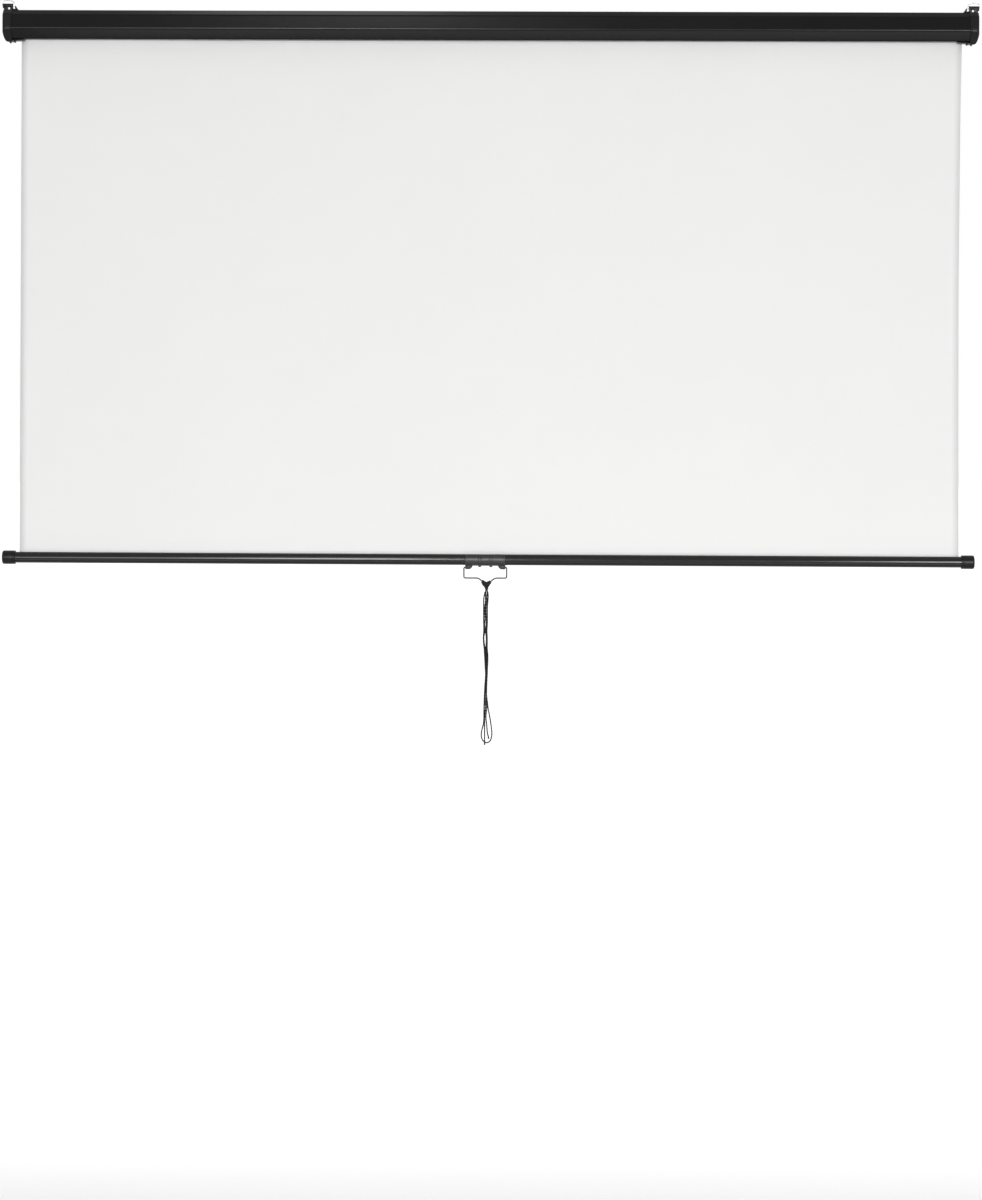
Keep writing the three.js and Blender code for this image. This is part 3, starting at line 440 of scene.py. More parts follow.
def weave_height(tree, pitch):
    """The height of a plain weave on the UV map: the product of two waves, one along each
    thread direction, which is high where a thread lies on top."""
    where = node(tree, "ShaderNodeUVMap", uv_map="along").outputs[0]
    split = node(tree, "ShaderNodeSeparateXYZ", {0: where})
    waves = [math_node(tree, "SINE", math_node(tree, "MULTIPLY", split.outputs[k], np.pi / pitch))
             for k in (0, 1)]
    return math_node(tree, "MULTIPLY", *waves), where


def make_cloth():
    """White matt cloth with a weave, and faint cloudy marks over its width."""
    made, tree, shader = material("screen_cloth", Specular_IOR_Level=0.2, Sheen_Weight=0.05)
    height, where = weave_height(tree, 0.0006)
    cloud = noise_at(tree, where, 3.0, 5.0, 0.6)
    thread = between(tree, height, 0.35, 0.65)
    patch = mixed(tree, cloud, (0.83, 0.83, 0.825, 1), (0.87, 0.87, 0.865, 1))
    color = mixed(tree, math_node(tree, "MULTIPLY", thread, 0.05), patch, (0.7, 0.7, 0.7, 1))
    finish(tree, shader, color, between(tree, cloud, 0.82, 0.92), height, 0.00003, 0.25)
    return made


def make_braid():
    """Dull black yarn: two slanting waves on the UV map make the plaits, and fine noise the
    fibres."""
    made, tree, shader = material("black_braid", Specular_IOR_Level=0.25, Sheen_Weight=0.15,
                                  Sheen_Roughness=0.5)
    height, where = weave_height(tree, 0.0008)
    fibre = noise_at(tree, where, 6000.0, 2.0)
    tone = math_node(tree, "MULTIPLY", between(tree, height, 0.2, 1.0), fibre)
    color = mixed(tree, tone, grey(0.0035), grey(0.017, (1, 1, 1.03)))
    finish(tree, shader, color, between(tree, fibre, 0.75, 0.95), fibre, 0.00006)
    return made


SCREEN_CLOTH, BLACK_BRAID = make_cloth(), make_braid()
print("materials:", ", ".join(sorted(m.name for m in bpy.data.materials)))

# %% [markdown]
# ## Pull cord
# One length of braided cord, 2.2 mm thick over its yarns, is doubled over, knotted on the handle
# and left to hang: a long loop and two loose ends. Each strand's route follows the photograph:
# the loop hangs in front of the ends, they cross and part several times, and light shows between
# them. The braid is real shape: the surface rises where a yarn of one family or the other lies
# on top.

# %% Cord routes
SWING = np.array([-1.8, -12.1, -925.9])
CORD = 2.2
LOOP = [[0.8, -0.9, -2.8], [1.3, -1.1, -6.5], [0.7, -1.1, -12], [0.5, -1.2, -20],
        [-0.5, -1.1, -30], [-0.6, -1.1, -41], [-0.2, -1.1, -52], [-0.4, -1.1, -61],
        [-0.9, -1.1, -71], [0.0, -1.1, -81], [0.0, -1.1, -90], [-0.2, -1.2, -100],
        [0.8, -1.3, -110], [1.1, -1.4, -121], [1.0, -1.5, -132], [1.2, -1.5, -141],
        [0.9, -1.5, -150], [0.3, -1.5, -160], [0.5, -1.5, -170], [1.1, -1.5, -179],
        [2.4, -1.5, -189], [3.6, -1.6, -199], [5.6, -1.6, -209], [7.4, -1.7, -219],
        [9.0, -1.7, -230], [9.9, -1.8, -239], [9.3, -1.8, -246], [6.8, -1.8, -252.2],
        [1.4, -1.8, -255.2], [-4.4, -1.8, -252.2], [-7.3, -1.8, -246], [-7.4, -1.8, -239],
        [-6.1, -1.7, -232], [-4.3, -1.7, -225], [-3.5, -1.6, -217], [-3.4, -1.5, -203],
        [-3.1, -1.5, -189], [-2.8, -1.5, -179], [-2.4, -1.5, -170], [-1.9, -1.5, -160],
        [-1.2, -1.5, -150], [-0.9, -1.5, -141], [-1.5, -1.4, -131], [-2.0, -1.3, -121],
        [-2.7, -1.2, -110], [-3.4, -1.2, -100], [-4.5, -1.1, -90], [-4.8, -1.1, -81],
        [-4.2, -1.1, -71], [-4.3, -1.1, -61], [-4.6, -1.1, -52], [-4.6, -1.1, -41],
        [-4.6, -1.1, -30], [-4.7, -1.1, -21], [-3.5, -1.1, -11], [-0.8, -0.9, -2.8]]
STRAIGHT_TAIL = [[-0.8, 0.9, -2.8], [-1.5, 1.1, -10], [-1.6, 1.1, -20], [-2.5, 1.1, -30],
                 [-2.6, 1.1, -41], [-2.4, 1.1, -52], [-3.0, 1.1, -61], [-2.4, 1.1, -71],
                 [-4.1, 1.1, -81], [-3.6, 1.1, -90], [-2.0, 1.1, -100], [-1.1, 1.3, -110],
                 [-0.6, 1.4, -121], [-0.5, 1.5, -132], [-0.4, 1.5, -141], [-0.7, 1.5, -150],
                 [-1.1, 1.5, -160], [-1.3, 1.5, -170], [-1.5, 1.5, -180], [-1.3, 1.5, -190],
                 [-1.1, 1.5, -199], [-2.0, 1.5, -209], [-2.3, 1.5, -220], [-2.2, 1.6, -235],
                 [-2.2, 1.6, -257]]
BENT_TAIL = [[0.8, 0.9, -2.8], [2.6, 1.1, -10], [2.4, 1.1, -20], [1.6, 1.1, -30],
             [1.5, 1.1, -41], [1.6, 1.1, -52], [1.4, 1.1, -61], [0.9, 1.1, -71],
             [1.4, 1.1, -81], [1.5, 1.1, -90], [1.5, 1.1, -100], [2.5, 1.3, -110],
             [2.6, 1.4, -121], [2.0, 1.5, -132], [1.8, 1.5, -141], [1.4, 1.5, -150],
             [1.0, 1.5, -160], [0.8, 1.5, -170], [0.7, 1.5, -180], [0.8, 1.5, -190],
             [1.2, 1.5, -199], [0.1, 1.5, -209], [0.1, 1.5, -217], [1.3, 1.6, -226],
             [2.3, 1.6, -238], [4.4, 1.6, -247]]
CURVE_STEPS = 60


def smooth_route(points):
    """A curve through the points: between two of them a cubic whose slopes come from the
    neighbours, each weighed by the square root of its distance."""
    p = np.asarray(points, float)
    p = np.concatenate([2 * p[:1] - p[1:2], p, 2 * p[-1:] - p[-2:-1]])
    gap = np.sqrt(np.linalg.norm(np.diff(p, axis=0), axis=1))[:, None]
    step = np.diff(p, axis=0)
    g0, g1, g2 = gap[:-2], gap[1:-1], gap[2:]
    slope_in = (step[:-2] / g0 - (p[2:-1] - p[:-3]) / (g0 + g1) + step[1:-1] / g1) * g1
    slope_out = (step[1:-1] / g1 - (p[3:] - p[1:-2]) / (g1 + g2) + step[2:] / g2) * g1
    t = np.linspace(0, 1, CURVE_STEPS, endpoint=False)[None, :, None]
    a, b = p[1:-2, None], p[2:-1, None]
    m, n = slope_in[:, None], slope_out[:, None]
    curve = a + m * t + (3 * (b - a) - 2 * m - n) * t ** 2 + (2 * (a - b) + m + n) * t ** 3
    return np.concatenate([curve.reshape(-1, 3), p[-2:-1]])


def braided(path, across=(0, 1, 0), sides=16, plaits=4, pitch=5.0, depth=0.09):
    """A tube round the path whose radius at angle a and length s is CORD/2 times
    1 - depth + depth * the higher of two waves, cos(plaits a + 2 pi s / pitch) and
    cos(plaits a - 2 pi s / pitch), one for each family of yarn."""
    length = lengths(path)
    angle = np.linspace(0, 2 * np.pi, sides + 1)
    turn, slide = plaits * angle[None], 2 * np.pi * length[:, None] / pitch
    wave = np.maximum(np.cos(turn + slide), np.cos(turn - slide))
    radius = CORD / 2 * (1 - depth + depth * wave)[:, :-1]
    ring = arc(1, angle)[None, :-1] * radius[..., None]
    uv = np.stack(np.broadcast_arrays(length[:, None], angle[None] * CORD / 2), -1) * MM
    return shell(carried(path, across, ring) * MM, uv=uv)


# %% Cords
STEP_ALONG = 0.45
TIP_RADIUS, TIP_DROP = 1.5, 0.9


def make_strand(name, points, node_name):
    """One hanging strand: a braided tube along its route, riding on the cord body."""
    path = evenly(smooth_route(points) + SWING, STEP_ALONG)
    made = piece(name, braided(path), BLACK_BRAID, "cord")
    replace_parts(made, node_name)


def make_tip(name, points, node_name):
    """A sealed end: the yarn melted into a bead, a sphere drawn out a little downwards."""
    x, y, z = np.asarray(points[-1], float) + SWING
    t = np.linspace(0.06, np.pi - 0.06, 14)
    profile = np.stack([z - TIP_DROP + TIP_RADIUS * np.cos(t), TIP_RADIUS * np.sin(t) ** 0.85], -1)
    made = piece(name, shell(turned(profile, 20, (x, y), "z") * MM), BLACK_PLASTIC, "cord")
    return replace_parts(made, node_name)


tip_straight = make_tip("cord_end_straight", STRAIGHT_TAIL, "cord_tip_straight")
tip_bent = make_tip("cord_end_bent", BENT_TAIL, "cord_tip_bent")
make_strand("pull_loop", LOOP, "cord_loop")
make_strand("pull_tail_straight", STRAIGHT_TAIL, "cord_tail_straight")
make_strand("pull_tail_bent", BENT_TAIL, "cord_tail_bent")

# %% [markdown]
# ## Screen cloth
# The cloth leaves the back of the roller, hangs straight down through the casing's slot, goes
# through the slot on top of the bar and turns round a rod in its hem. It is one sheet 1550 mm
# wide. Its section, top to hem, is carried across the width. Real cloth isn't quite flat or
# quite straight at its edges, so shallow waves and the edge's own line are added.

# %% Cloth
CLOTH_WIDTH, CLOTH_THICK = 1550.0, 0.4
CLOTH_Y, CLOTH_TOP = -12.1, -2.3
BAR_Z = -879.0
HANG = 874.0
HEM_Z, HEM_RADIUS = -875.3, 3.5
WELD_Z, HEM_STEP = -867.2, 0.3
WAVE_DEPTH, WIDE_WAVE, NARROW_WAVE = 0.4, 0.5, 0.3
EDGE_HEIGHTS = [-876, -846, -680, -450, -285, -119, -53, -2]
EDGE_SHIFTS = [1.0, 1.0, -0.2, -0.9, 0.0, 1.2, 2.3, 3.0]


def cloth_section():
    """Straight down from the roller, a small step forward where the hem's flap is welded on,
    then once round the hem rod and back to the sheet."""
    down = np.concatenate([np.linspace(CLOTH_TOP, WELD_Z + 3, 230),
                           np.linspace(WELD_Z + 2.8, HEM_Z + HEM_RADIUS + 0.3, 34)])
    doubled = np.clip((WELD_Z + 0.2 - down) / 0.5, 0, 1)
    sheet = np.stack([CLOTH_Y - HEM_STEP * doubled, down], -1)
    angle = np.radians(np.linspace(86, -266, 30))
    return np.concatenate([sheet, arc(HEM_RADIUS, angle) + (CLOTH_Y, HEM_Z)])


def cloth_piece(name, grid, across, along, body):
    """A sheet of cloth laid out on its UV map in metres, given half its thickness to each
    side, which becomes its real mesh."""
    uv = np.stack(np.broadcast_arrays(across, along), -1) * MM
    made = piece(name, shell(grid * MM, closed=False, uv=uv), SCREEN_CLOTH, body)
    solid = made.modifiers.new("thickness", "SOLIDIFY")
    solid.thickness, solid.offset = CLOTH_THICK * MM, 0
    bpy.context.view_layer.update()
    shown = made.evaluated_get(bpy.context.evaluated_depsgraph_get())
    full = bpy.data.meshes.new_from_object(shown)
    made.modifiers.clear()
    made.data = full
    return made


def make_screen():
    """The section over the width: y gets shallow waves, always away from the roller, that die
    out at the roller and the bar, and x follows the measured line of the right edge."""
    section = cloth_section()
    u = np.linspace(-1, 1, 121)[None, :]
    z = section[:, 1:2]
    hang = np.clip((CLOTH_TOP - z) / HANG, 0, 1)
    calm = np.sin(np.pi * hang) ** 0.7
    waves = WIDE_WAVE * np.cos(7.3 * u + 1.1) + NARROW_WAVE * np.cos(15.1 * u - 2.2 * hang)
    shift = np.interp(z, EDGE_HEIGHTS, EDGE_SHIFTS) * np.clip((u - 0.9) / 0.1, 0, 1)
    x = u * CLOTH_WIDTH / 2 + shift
    y = section[:, :1] + WAVE_DEPTH * calm * (WIDE_WAVE + NARROW_WAVE - waves)
    grid = np.stack(np.broadcast_arrays(x, y, z), -1)
    along = lengths(section)
    made = cloth_piece("screen_sheet", grid, u * CLOTH_WIDTH / 2, -along[:, None], "screen")
    return made, along[-1]


screen_sheet, screen_length = make_screen()
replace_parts(screen_sheet, "screen_fabric")
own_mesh(screen_sheet)
print(f"cloth {CLOTH_WIDTH:.0f} x {screen_length:.0f} mm")

# %% Cloth on the roller
AXIS_Y, AXIS_Z = -28.0, -2.0
WOUND_OUTER, WOUND_PITCH, WOUND_TURNS = 15.5, 0.5, 2


def make_wound():
    """What stays on the roller: a spiral whose radius falls by the pitch each turn, from the
    place where the hanging cloth leaves it."""
    turns = np.linspace(0, WOUND_TURNS, 145)
    radius = WOUND_OUTER - turns * WOUND_PITCH
    angle = 2 * np.pi * turns
    section = arc(radius[:, None], angle) + (AXIS_Y, AXIS_Z)
    x = np.linspace(-1, 1, 9) * CLOTH_WIDTH / 2
    grid = along_x(section, x).swapaxes(0, 1)
    along = lengths(section)
    made = cloth_piece("wound_cloth", grid, x[None], along[:, None], "roller")
    return made, along[-1]


wound_cloth, wound_length = make_wound()
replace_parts(wound_cloth, "fabric_roll")
print(f"cloth on the roller {wound_length:.0f} mm")

# %% [markdown]
# ## Casing
# The casing is one thin-walled metal profile with a flat back, a flat top, a chamfer, a ridge
# along the front and a slot in its bottom. A profile is one outline carried along a straight
# line. The bends of real sheet or extruded metal are rounded, and here that matters most:
# the bright line along the front is light on the rounded ridge.

# %% Casing
CASING_END = 792.0
CASING_WALL = 1.2
CASING_BENDS = [(-4.5, -24), (0, -24), (0, 24), (-37, 24), (-45.4, 15.4), (-50, -7.4), (-38, -24),
                (-21.5, -24)]
BEND_REACH = [0, 1.0, 1.0, 1.6, 1.6, 2.0, 1.8, 0]


def walled(line, wall):
    """A closed outline round an open line: the line moved to each side by half the wall, and
    joined by half circles at its two ends."""
    along = unit(np.gradient(line, axis=0))
    side = np.stack([-along[:, 1], along[:, 0]], -1) * wall / 2
    angle = np.linspace(0, np.pi, 7)[1:-1, None]
    end = line[-1] + np.cos(angle) * side[-1] + np.sin(angle) * along[-1] * wall / 2
    start = line[0] - np.cos(angle) * side[0] - np.sin(angle) * along[0] * wall / 2
    return np.concatenate([line + side, end, (line - side)[::-1], start])


def inset(corners, distance):
    """The corners of an open line moved to its left by a distance, square to both runs."""
    corners = np.asarray(corners, float)
    runs = unit(np.diff(corners, axis=0))
    left = np.stack([-runs[:, 1], runs[:, 0]], -1)
    left = np.concatenate([left[:1], left, left[-1:]])
    sums = left[:-1] + left[1:]
    return corners + sums * distance / (0.5 * np.sum(sums ** 2, -1, keepdims=True))


casing_line = bent(inset(CASING_BENDS, CASING_WALL / 2), BEND_REACH, 8)
casing_outline = walled(casing_line, CASING_WALL)
casing = piece("casing", shell(along_x(casing_outline, [-CASING_END, CASING_END]) * MM),
               CASING_PAINT, "housing", smooth=30)
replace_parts(casing, "housing_shell")
print("casing outline has", len(casing_outline), "points")

# %% [markdown]
# ## Outlines with soft corners
# Moulded parts have flat sides that meet in soft corners. Such an outline is found from a
# centre: along each direction the nearest side sets the distance, and blending the sides
# instead of taking the nearest one rounds every corner. The same call gives a whole stack of
# outlines, one for each row of distances, so a cap that draws in towards its end is one grid.

# %% Soft outlines


def sides_of(corners, centre):
    """For each side of a convex outline its outward normal, and its distance from the centre."""
    corners = np.asarray(corners, float)
    run = unit(np.roll(corners, -1, 0) - corners)
    normal = np.stack([run[:, 1], -run[:, 0]], -1)
    distance = np.sum((corners - centre) * normal, -1)
    return normal * np.sign(distance)[:, None], np.abs(distance)


def soft_radius(normals, distances, angles, sharpness):
    """How far the outline is at each angle. Along the direction u a side with normal n is
    d / (n . u) away, and the sides are blended to the sum of (n . u / d) ** p, to the power
    of -1 / p, for each row of distances d and a sharpness p."""
    direction = np.stack([np.cos(angles), np.sin(angles)], -1)
    share = np.maximum(direction @ normals.T, 0)[None] / distances[:, None]
    return np.sum(share ** sharpness, -1) ** (-1 / sharpness)


def block(corners, reach, span, edge=0.35):
    """A plate whose outline is given in x and z, carried along y over the span. Its rows near
    each end are drawn in, square to the outline, to round the edge."""
    outline = bent(corners, reach, 4, wrap=True)
    ahead = unit(np.roll(outline, -1, 0) - np.roll(outline, 1, 0))
    inward = np.stack([-ahead[:, 1], ahead[:, 0]], -1)
    inward *= -np.sign(np.sum(inward * (outline - outline.mean(0))))
    low, high = span
    at = np.array([low, low + 0.3 * edge, low + edge, high - edge, high - 0.3 * edge, high])
    drawn = edge * np.array([1, 0.3, 0, 0, 0.3, 1])
    flat = outline[None] + inward[None] * drawn[:, None, None]
    return np.stack([flat[..., 0], np.broadcast_to(at[:, None], flat.shape[:2]), flat[..., 1]], -1)


# %% [markdown]
# ## End caps
# A moulded cap closes each end of the casing. Its skin follows the casing's sides 2 mm
# outside them, with a raised bead round its inner edge, and draws in at the shoulder, the foot
# and the front towards the outer end. Two tongues clip over the casing, a barrel on two legs
# holds the hanging ring, raised rims frame the two screws, and a socket inside carries the
# roller. The skin is one grid from the hollow's floor, round the rim and over the outside, and
# the rest are plates and turned rings.

# %% End cap
CAP_INNER, CAP_WIDTH, CAP_WALL = 787.0, 14.8, 2.2
CAP_CENTRE = np.array([-25.0, -3.0])
CAP_CORNERS = [(0, 26), (-37.8, 26), (-46.8, 17.6), (-52.1, -7.9), (-39, -30), (0, -26)]
CASING_CORNERS = [(0, 24), (-37, 24), (-45, 16.6), (-50, -7.4), (-38, -24), (0, -24)]
CAP_ANGLES = np.linspace(0, 2 * np.pi, 180, endpoint=False)
BEAD_WIDTH, BEAD_HEIGHT = 3.0, 0.8
BACK_SINK = 0.35
SHOULDER_REACH, SHOULDER_DROP = 5, 13
FOOT_REACH, FOOT_RISE, FOOT_LEAN = 10, 24, 2
FRONT_REACH, FRONT_SETBACK = 7, 9
FOOT_FLAT, FRONT_FLAT = 27.8, 27.6
POCKET_DEPTH, POCKET_GAP = 5.3, 0.3
RIM_ROUND, RIM_DRAW = 1.2, 0.7
CAP_SOFTNESS, POCKET_SOFTNESS = 28, 90
SCREW_PLACES = [(-35, 20.2), (-3.8, 20.2)]
SCREW_RIM = (798, 801.75, 2.15, 3.6)
RING_Y, RING_Z, RING_X = -33.0, 31.6, 794.4
RING_BARREL = (786, 802.8, 1.3, 3.1)
STAND = (-35.3, -30.7)


def cap_outlines(along, inset):
    """The skin's outline at each distance along the cap, moved inwards by the inset. The top,
    the floor and the front draw in on curves b t^2, where t follows from the distance."""
    normals, distance = sides_of(CAP_CORNERS, CAP_CENTRE)
    t = np.linspace(0, 1, 60)
    left = (1 - t) ** 2
    shoulder = np.interp(along, CAP_WIDTH - SHOULDER_REACH * left, SHOULDER_DROP * t ** 2)
    curl = FOOT_REACH * left + FOOT_LEAN * t * (1 - t)
    foot = np.interp(along, CAP_WIDTH - curl, FOOT_RISE * t ** 2)
    front = np.interp(along, CAP_WIDTH - FRONT_REACH * left, FRONT_SETBACK * t ** 2)
    normals = np.concatenate([normals, [(0, -1), (-1, 0)]])
    distances = np.tile(np.concatenate([distance, [FOOT_FLAT, FRONT_FLAT]]), (len(along), 1))
    distances -= np.asarray(inset, float)[:, None]
    distances[:, 5] = distance[5] - BACK_SINK
    distances[:, 0] -= shoulder
    distances[:, 6] -= foot
    distances[:, 7] -= front
    return soft_radius(normals, distances, CAP_ANGLES, CAP_SOFTNESS)


def cap_skin():
    """Rows of radii: the hollow's floor and wall, the pocket round the casing's end, and the
    outside with a half-round bead at its inner edge and a rounded outer edge."""
    outside = np.concatenate([[0, 0.08, 0.25, 0.5, 0.9, 1.5, 2.1, 2.5, 2.75, 2.92, 3.0, 3.4, 5, 7],
                              CAP_WIDTH - FRONT_REACH * (1 - np.linspace(0, 1, 22)) ** 2])
    hump = np.clip(1 - ((outside - BEAD_WIDTH / 2) / (BEAD_WIDTH / 2)) ** 2, 0, 1)
    inset = BEAD_HEIGHT * (1 - np.sqrt(hump))
    inset += RIM_DRAW * np.clip((outside - CAP_WIDTH + RIM_ROUND) / RIM_ROUND, 0, 1) ** 2
    hollow = np.array([CAP_WIDTH - CAP_WALL, POCKET_DEPTH])
    normals, distance = sides_of(CASING_CORNERS, CAP_CENTRE)
    pocket = distance + POCKET_GAP
    pocket[5] = distance[5] - 2 * BACK_SINK
    pocket = soft_radius(normals, np.tile(pocket, (2, 1)), CAP_ANGLES, POCKET_SOFTNESS)
    along = np.concatenate([hollow, [POCKET_DEPTH, 0.1], outside])
    radius = np.concatenate([cap_outlines(hollow, [CAP_WALL + BEAD_HEIGHT] * 2), pocket,
                             cap_outlines(outside, inset)])
    y = CAP_CENTRE[0] + radius * np.cos(CAP_ANGLES)
    z = CAP_CENTRE[1] + radius * np.sin(CAP_ANGLES)
    x = np.broadcast_to(CAP_INNER + along[:, None], y.shape)
    return np.stack([x, y, z], -1)


def tube_of(low, high, bore, outer, place, edge=0.35):
    """A turned tube along x with rounded edges."""
    profile = bent([(low, bore), (low, outer), (high, outer), (high, bore)], edge, 4, wrap=True)
    return turned(profile, 40, place)


def cap_plates():
    """The legs under the barrel, the small leaning guard, both tongues and two small feet."""
    return [
        block([(794.3, 31.6), (802.8, 31.6), (802.8, 27.4), (800.8, 26.2), (800.8, 20),
               (794.3, 20)], 0.5, STAND),
        block([(786, 31.6), (790.8, 31.6), (790.8, 25), (786, 25)], 0.5, STAND),
        block([(783.2, 30.8), (781.7, 30.8), (778.2, 25.5), (782.2, 25.5)], 0.5, STAND),
        block([(778, 24.35), (778, 26), (789.5, 26), (789.5, 24.35)], [0.2, 1, 0.2, 0.2],
              (-35, -2)),
        block([(767, -24.35), (767, -25.6), (772, -26.6), (789.5, -27), (789.5, -24.35)],
              [0.2, 0.6, 2, 0.2, 0.2], (-38, -21.5)),
        block([(787.2, -27), (791, -27), (790.4, -31.2), (788, -31.2)], 0.7, (-40, -34)),
        block([(780, -25.8), (784.4, -25.8), (783.6, -30), (781.2, -30)], 0.7, (-37.4, -31)),
    ]


def make_end_cap(name, side, node_name, bore):
    """All shells of one cap, built at the right end and mirrored for the left."""
    tubes = [tube_of(*RING_BARREL, (RING_Y, RING_Z)),
             tube_of(CAP_INNER, 799, bore, 9, (AXIS_Y, AXIS_Z))]
    tubes += [tube_of(*SCREW_RIM, place, 0.3) for place in SCREW_PLACES]
    grids = [(cap_skin(), False)] + [(tube, True) for tube in tubes]
    grids += [(plate, False) for plate in cap_plates()]
    shells = [shell(grid * (side, 1, 1) * MM, looped=looped) for grid, looped in grids]
    made = piece(name, shells, BLACK_PLASTIC, "housing", smooth=35)
    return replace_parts(made, node_name)


make_end_cap("end_moulding_right", 1, "end_cap_right", 5.6)
make_end_cap("end_moulding_left", -1, "end_cap_left", 4.4)

# %% [markdown]
# ## Bottom bar and its caps
# The bar is a round tube with a slot on top for the hem, black painted. A moulded cap with a
# rounded end is pushed over each end of it.

# %% Bar
BAR_SHIFT = -0.7
BAR_RADIUS, BAR_WALL, BAR_HALF = 9.1, 1.2, 799.9
BAR_SLOT = 1.4
CAP_BORE, CAP_OUTER, CAP_LENGTH, CAP_FLOOR = 9.2, 11.4, 21.8, 2.5
GROOVE = 0.5


def make_bar():
    """A ring with a gap on top, carried along x."""
    open_angle = np.arcsin((BAR_SLOT / 2 + BAR_WALL / 2) / BAR_RADIUS)
    angle = np.linspace(np.pi / 2 + open_angle, 5 * np.pi / 2 - open_angle, 72)
    middle = BAR_RADIUS - BAR_WALL / 2
    line = arc(middle, angle) + (CLOTH_Y, BAR_Z)
    ends = np.array([-BAR_HALF, BAR_HALF]) + BAR_SHIFT
    made = piece("weight_bar", shell(along_x(walled(line, BAR_WALL), ends) * MM), BAR_PAINT,
                 "screen")
    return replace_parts(made, "bottom_bar")


make_bar()


def make_bar_cap(name, side, node_name):
    """The cap's floor, bore, collar, wall and crowned end as one profile turned round the
    bar's axis."""
    outer, end = CAP_OUTER, BAR_HALF + 0.3 + CAP_FLOOR
    start = end - CAP_LENGTH
    profile = bent([(end - CAP_FLOOR, 0.2), (end - CAP_FLOOR, CAP_BORE), (start, CAP_BORE),
                    (start, outer), (start + 2.2, outer), (start + 2.5, outer - GROOVE),
                    (start + 3.1, outer - GROOVE), (start + 3.4, outer - 0.1),
                    (end - 0.9, outer - 0.1), (end, 6), (end, 0.2)],
                   [0, 0.4, 0.5, 0.7, 0.15, 0.1, 0.1, 0.15, 2.4, 3, 0], 6)
    grid = turned(profile, 72, (CLOTH_Y, BAR_Z))
    grid[..., 0] = side * grid[..., 0] + BAR_SHIFT
    made = piece(name, shell(grid * MM), BLACK_PLASTIC, "screen", smooth=50)
    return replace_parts(made, node_name)


make_bar_cap("bar_end_right", 1, "bar_cap_right")
make_bar_cap("bar_end_left", -1, "bar_cap_left")

# %% [markdown]
# ## Handle clip
# A springy plastic saddle is snapped on the bar from below. Two raised ribs run round it where
# its screws sit, and an ear hangs down at each end for the wire. The saddle is an arc with a
# wall, repeated along x, and its outer side moves out along the ribs and in at both ends.

# %% Clip
CLIP_SHIFT = -4.0
CLIP_HALF, CLIP_INNER, CLIP_WALL = 33.0, 9.2, 1.1
CLIP_RISE, CLIP_ROUND = 46, 0.6
RIB_PLACE, RIB_WIDTH, RIB_HEIGHT = 9.2, 2.3, 0.55
EAR_CORNERS = [(33.2, -8.5), (20.4, -8.5), (21.6, -12.2), (25.2, -15.8), (33.2, -15.8)]


def clip_saddle():
    """Points of the arc's outer side move by height exp(-((|x| - place) / width) ** 4) less the
    rounding of the ends."""
    rise = np.radians(CLIP_RISE)
    angle = np.linspace(rise, -np.pi - rise, 64)
    middle = CLIP_INNER + CLIP_WALL / 2
    outline = walled(arc(middle, angle), CLIP_WALL)
    x = np.linspace(-CLIP_HALF, CLIP_HALF, 177)
    radius = np.linalg.norm(outline, axis=-1)
    outer = np.clip((radius - middle) / (CLIP_WALL / 2), 0, 1)
    rib = RIB_HEIGHT * np.exp(-((np.abs(x) - RIB_PLACE) / RIB_WIDTH) ** 4)
    end = CLIP_ROUND * np.clip(np.abs(x) - CLIP_HALF + 1, 0, 1) ** 2
    scale = 1 + (rib - end)[:, None] * outer[None] / radius[None]
    grid = outline[None] * scale[..., None]
    across = np.broadcast_to(x[:, None], scale.shape)
    return np.stack([across + CLIP_SHIFT, grid[..., 0] + CLOTH_Y, grid[..., 1] + BAR_Z], -1)


def clip_ear(side):
    """A rounded plate that narrows downwards from the saddle."""
    corners = np.array(EAR_CORNERS) * (side, 1) + (CLIP_SHIFT, BAR_Z)
    return block(corners, [0.3, 0.3, 1.2, 1.6, 1.2], (-3, 3), 0.7) + (0, CLOTH_Y, 0)


clip_parts = [shell(grid * MM) for grid in (clip_saddle(), clip_ear(1), clip_ear(-1))]
clip = piece("snap_clip", clip_parts, CLIP_PLASTIC, "screen", smooth=45)
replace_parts(clip, "handle_clip")

# %% [markdown]
# ## Wire handle and hanging rings
# Both are bent steel wire. Each is a circle carried along a bent line in one upright plane.

# %% Wires
PIVOT_Z = BAR_Z - 12.4
HANDLE_WIRE, RING_WIRE = 1.15, 1.0
HANDLE_HALF, HANDLE_END, HANDLE_RUN = 35.3, 24.0, -18.0
DIP_REACH, DIP_FLAT, DIP_SHIFT, DIP_Z = 13.5, 3.0, 2.2, -27.0
RING_HALF, RING_SHOULDER, RING_ARCH, RING_TOP = 9.7, 5.0, 4.5, 8.8
RING_GAP = 0.15


def upright(points, reach, shift, y, z, step=0.4):
    """A bent line given in x and z, moved to its place."""
    line = evenly(bent(points, reach, 10), step)
    return np.stack([line[:, 0] + shift, np.full(len(line), y), line[:, 1] + z], -1)


def wire(line, radius, sides):
    """A round wire of that radius along the line."""
    return shell(carried(line, (0, 1, 0), arc(radius, round_angles(sides))) * MM)


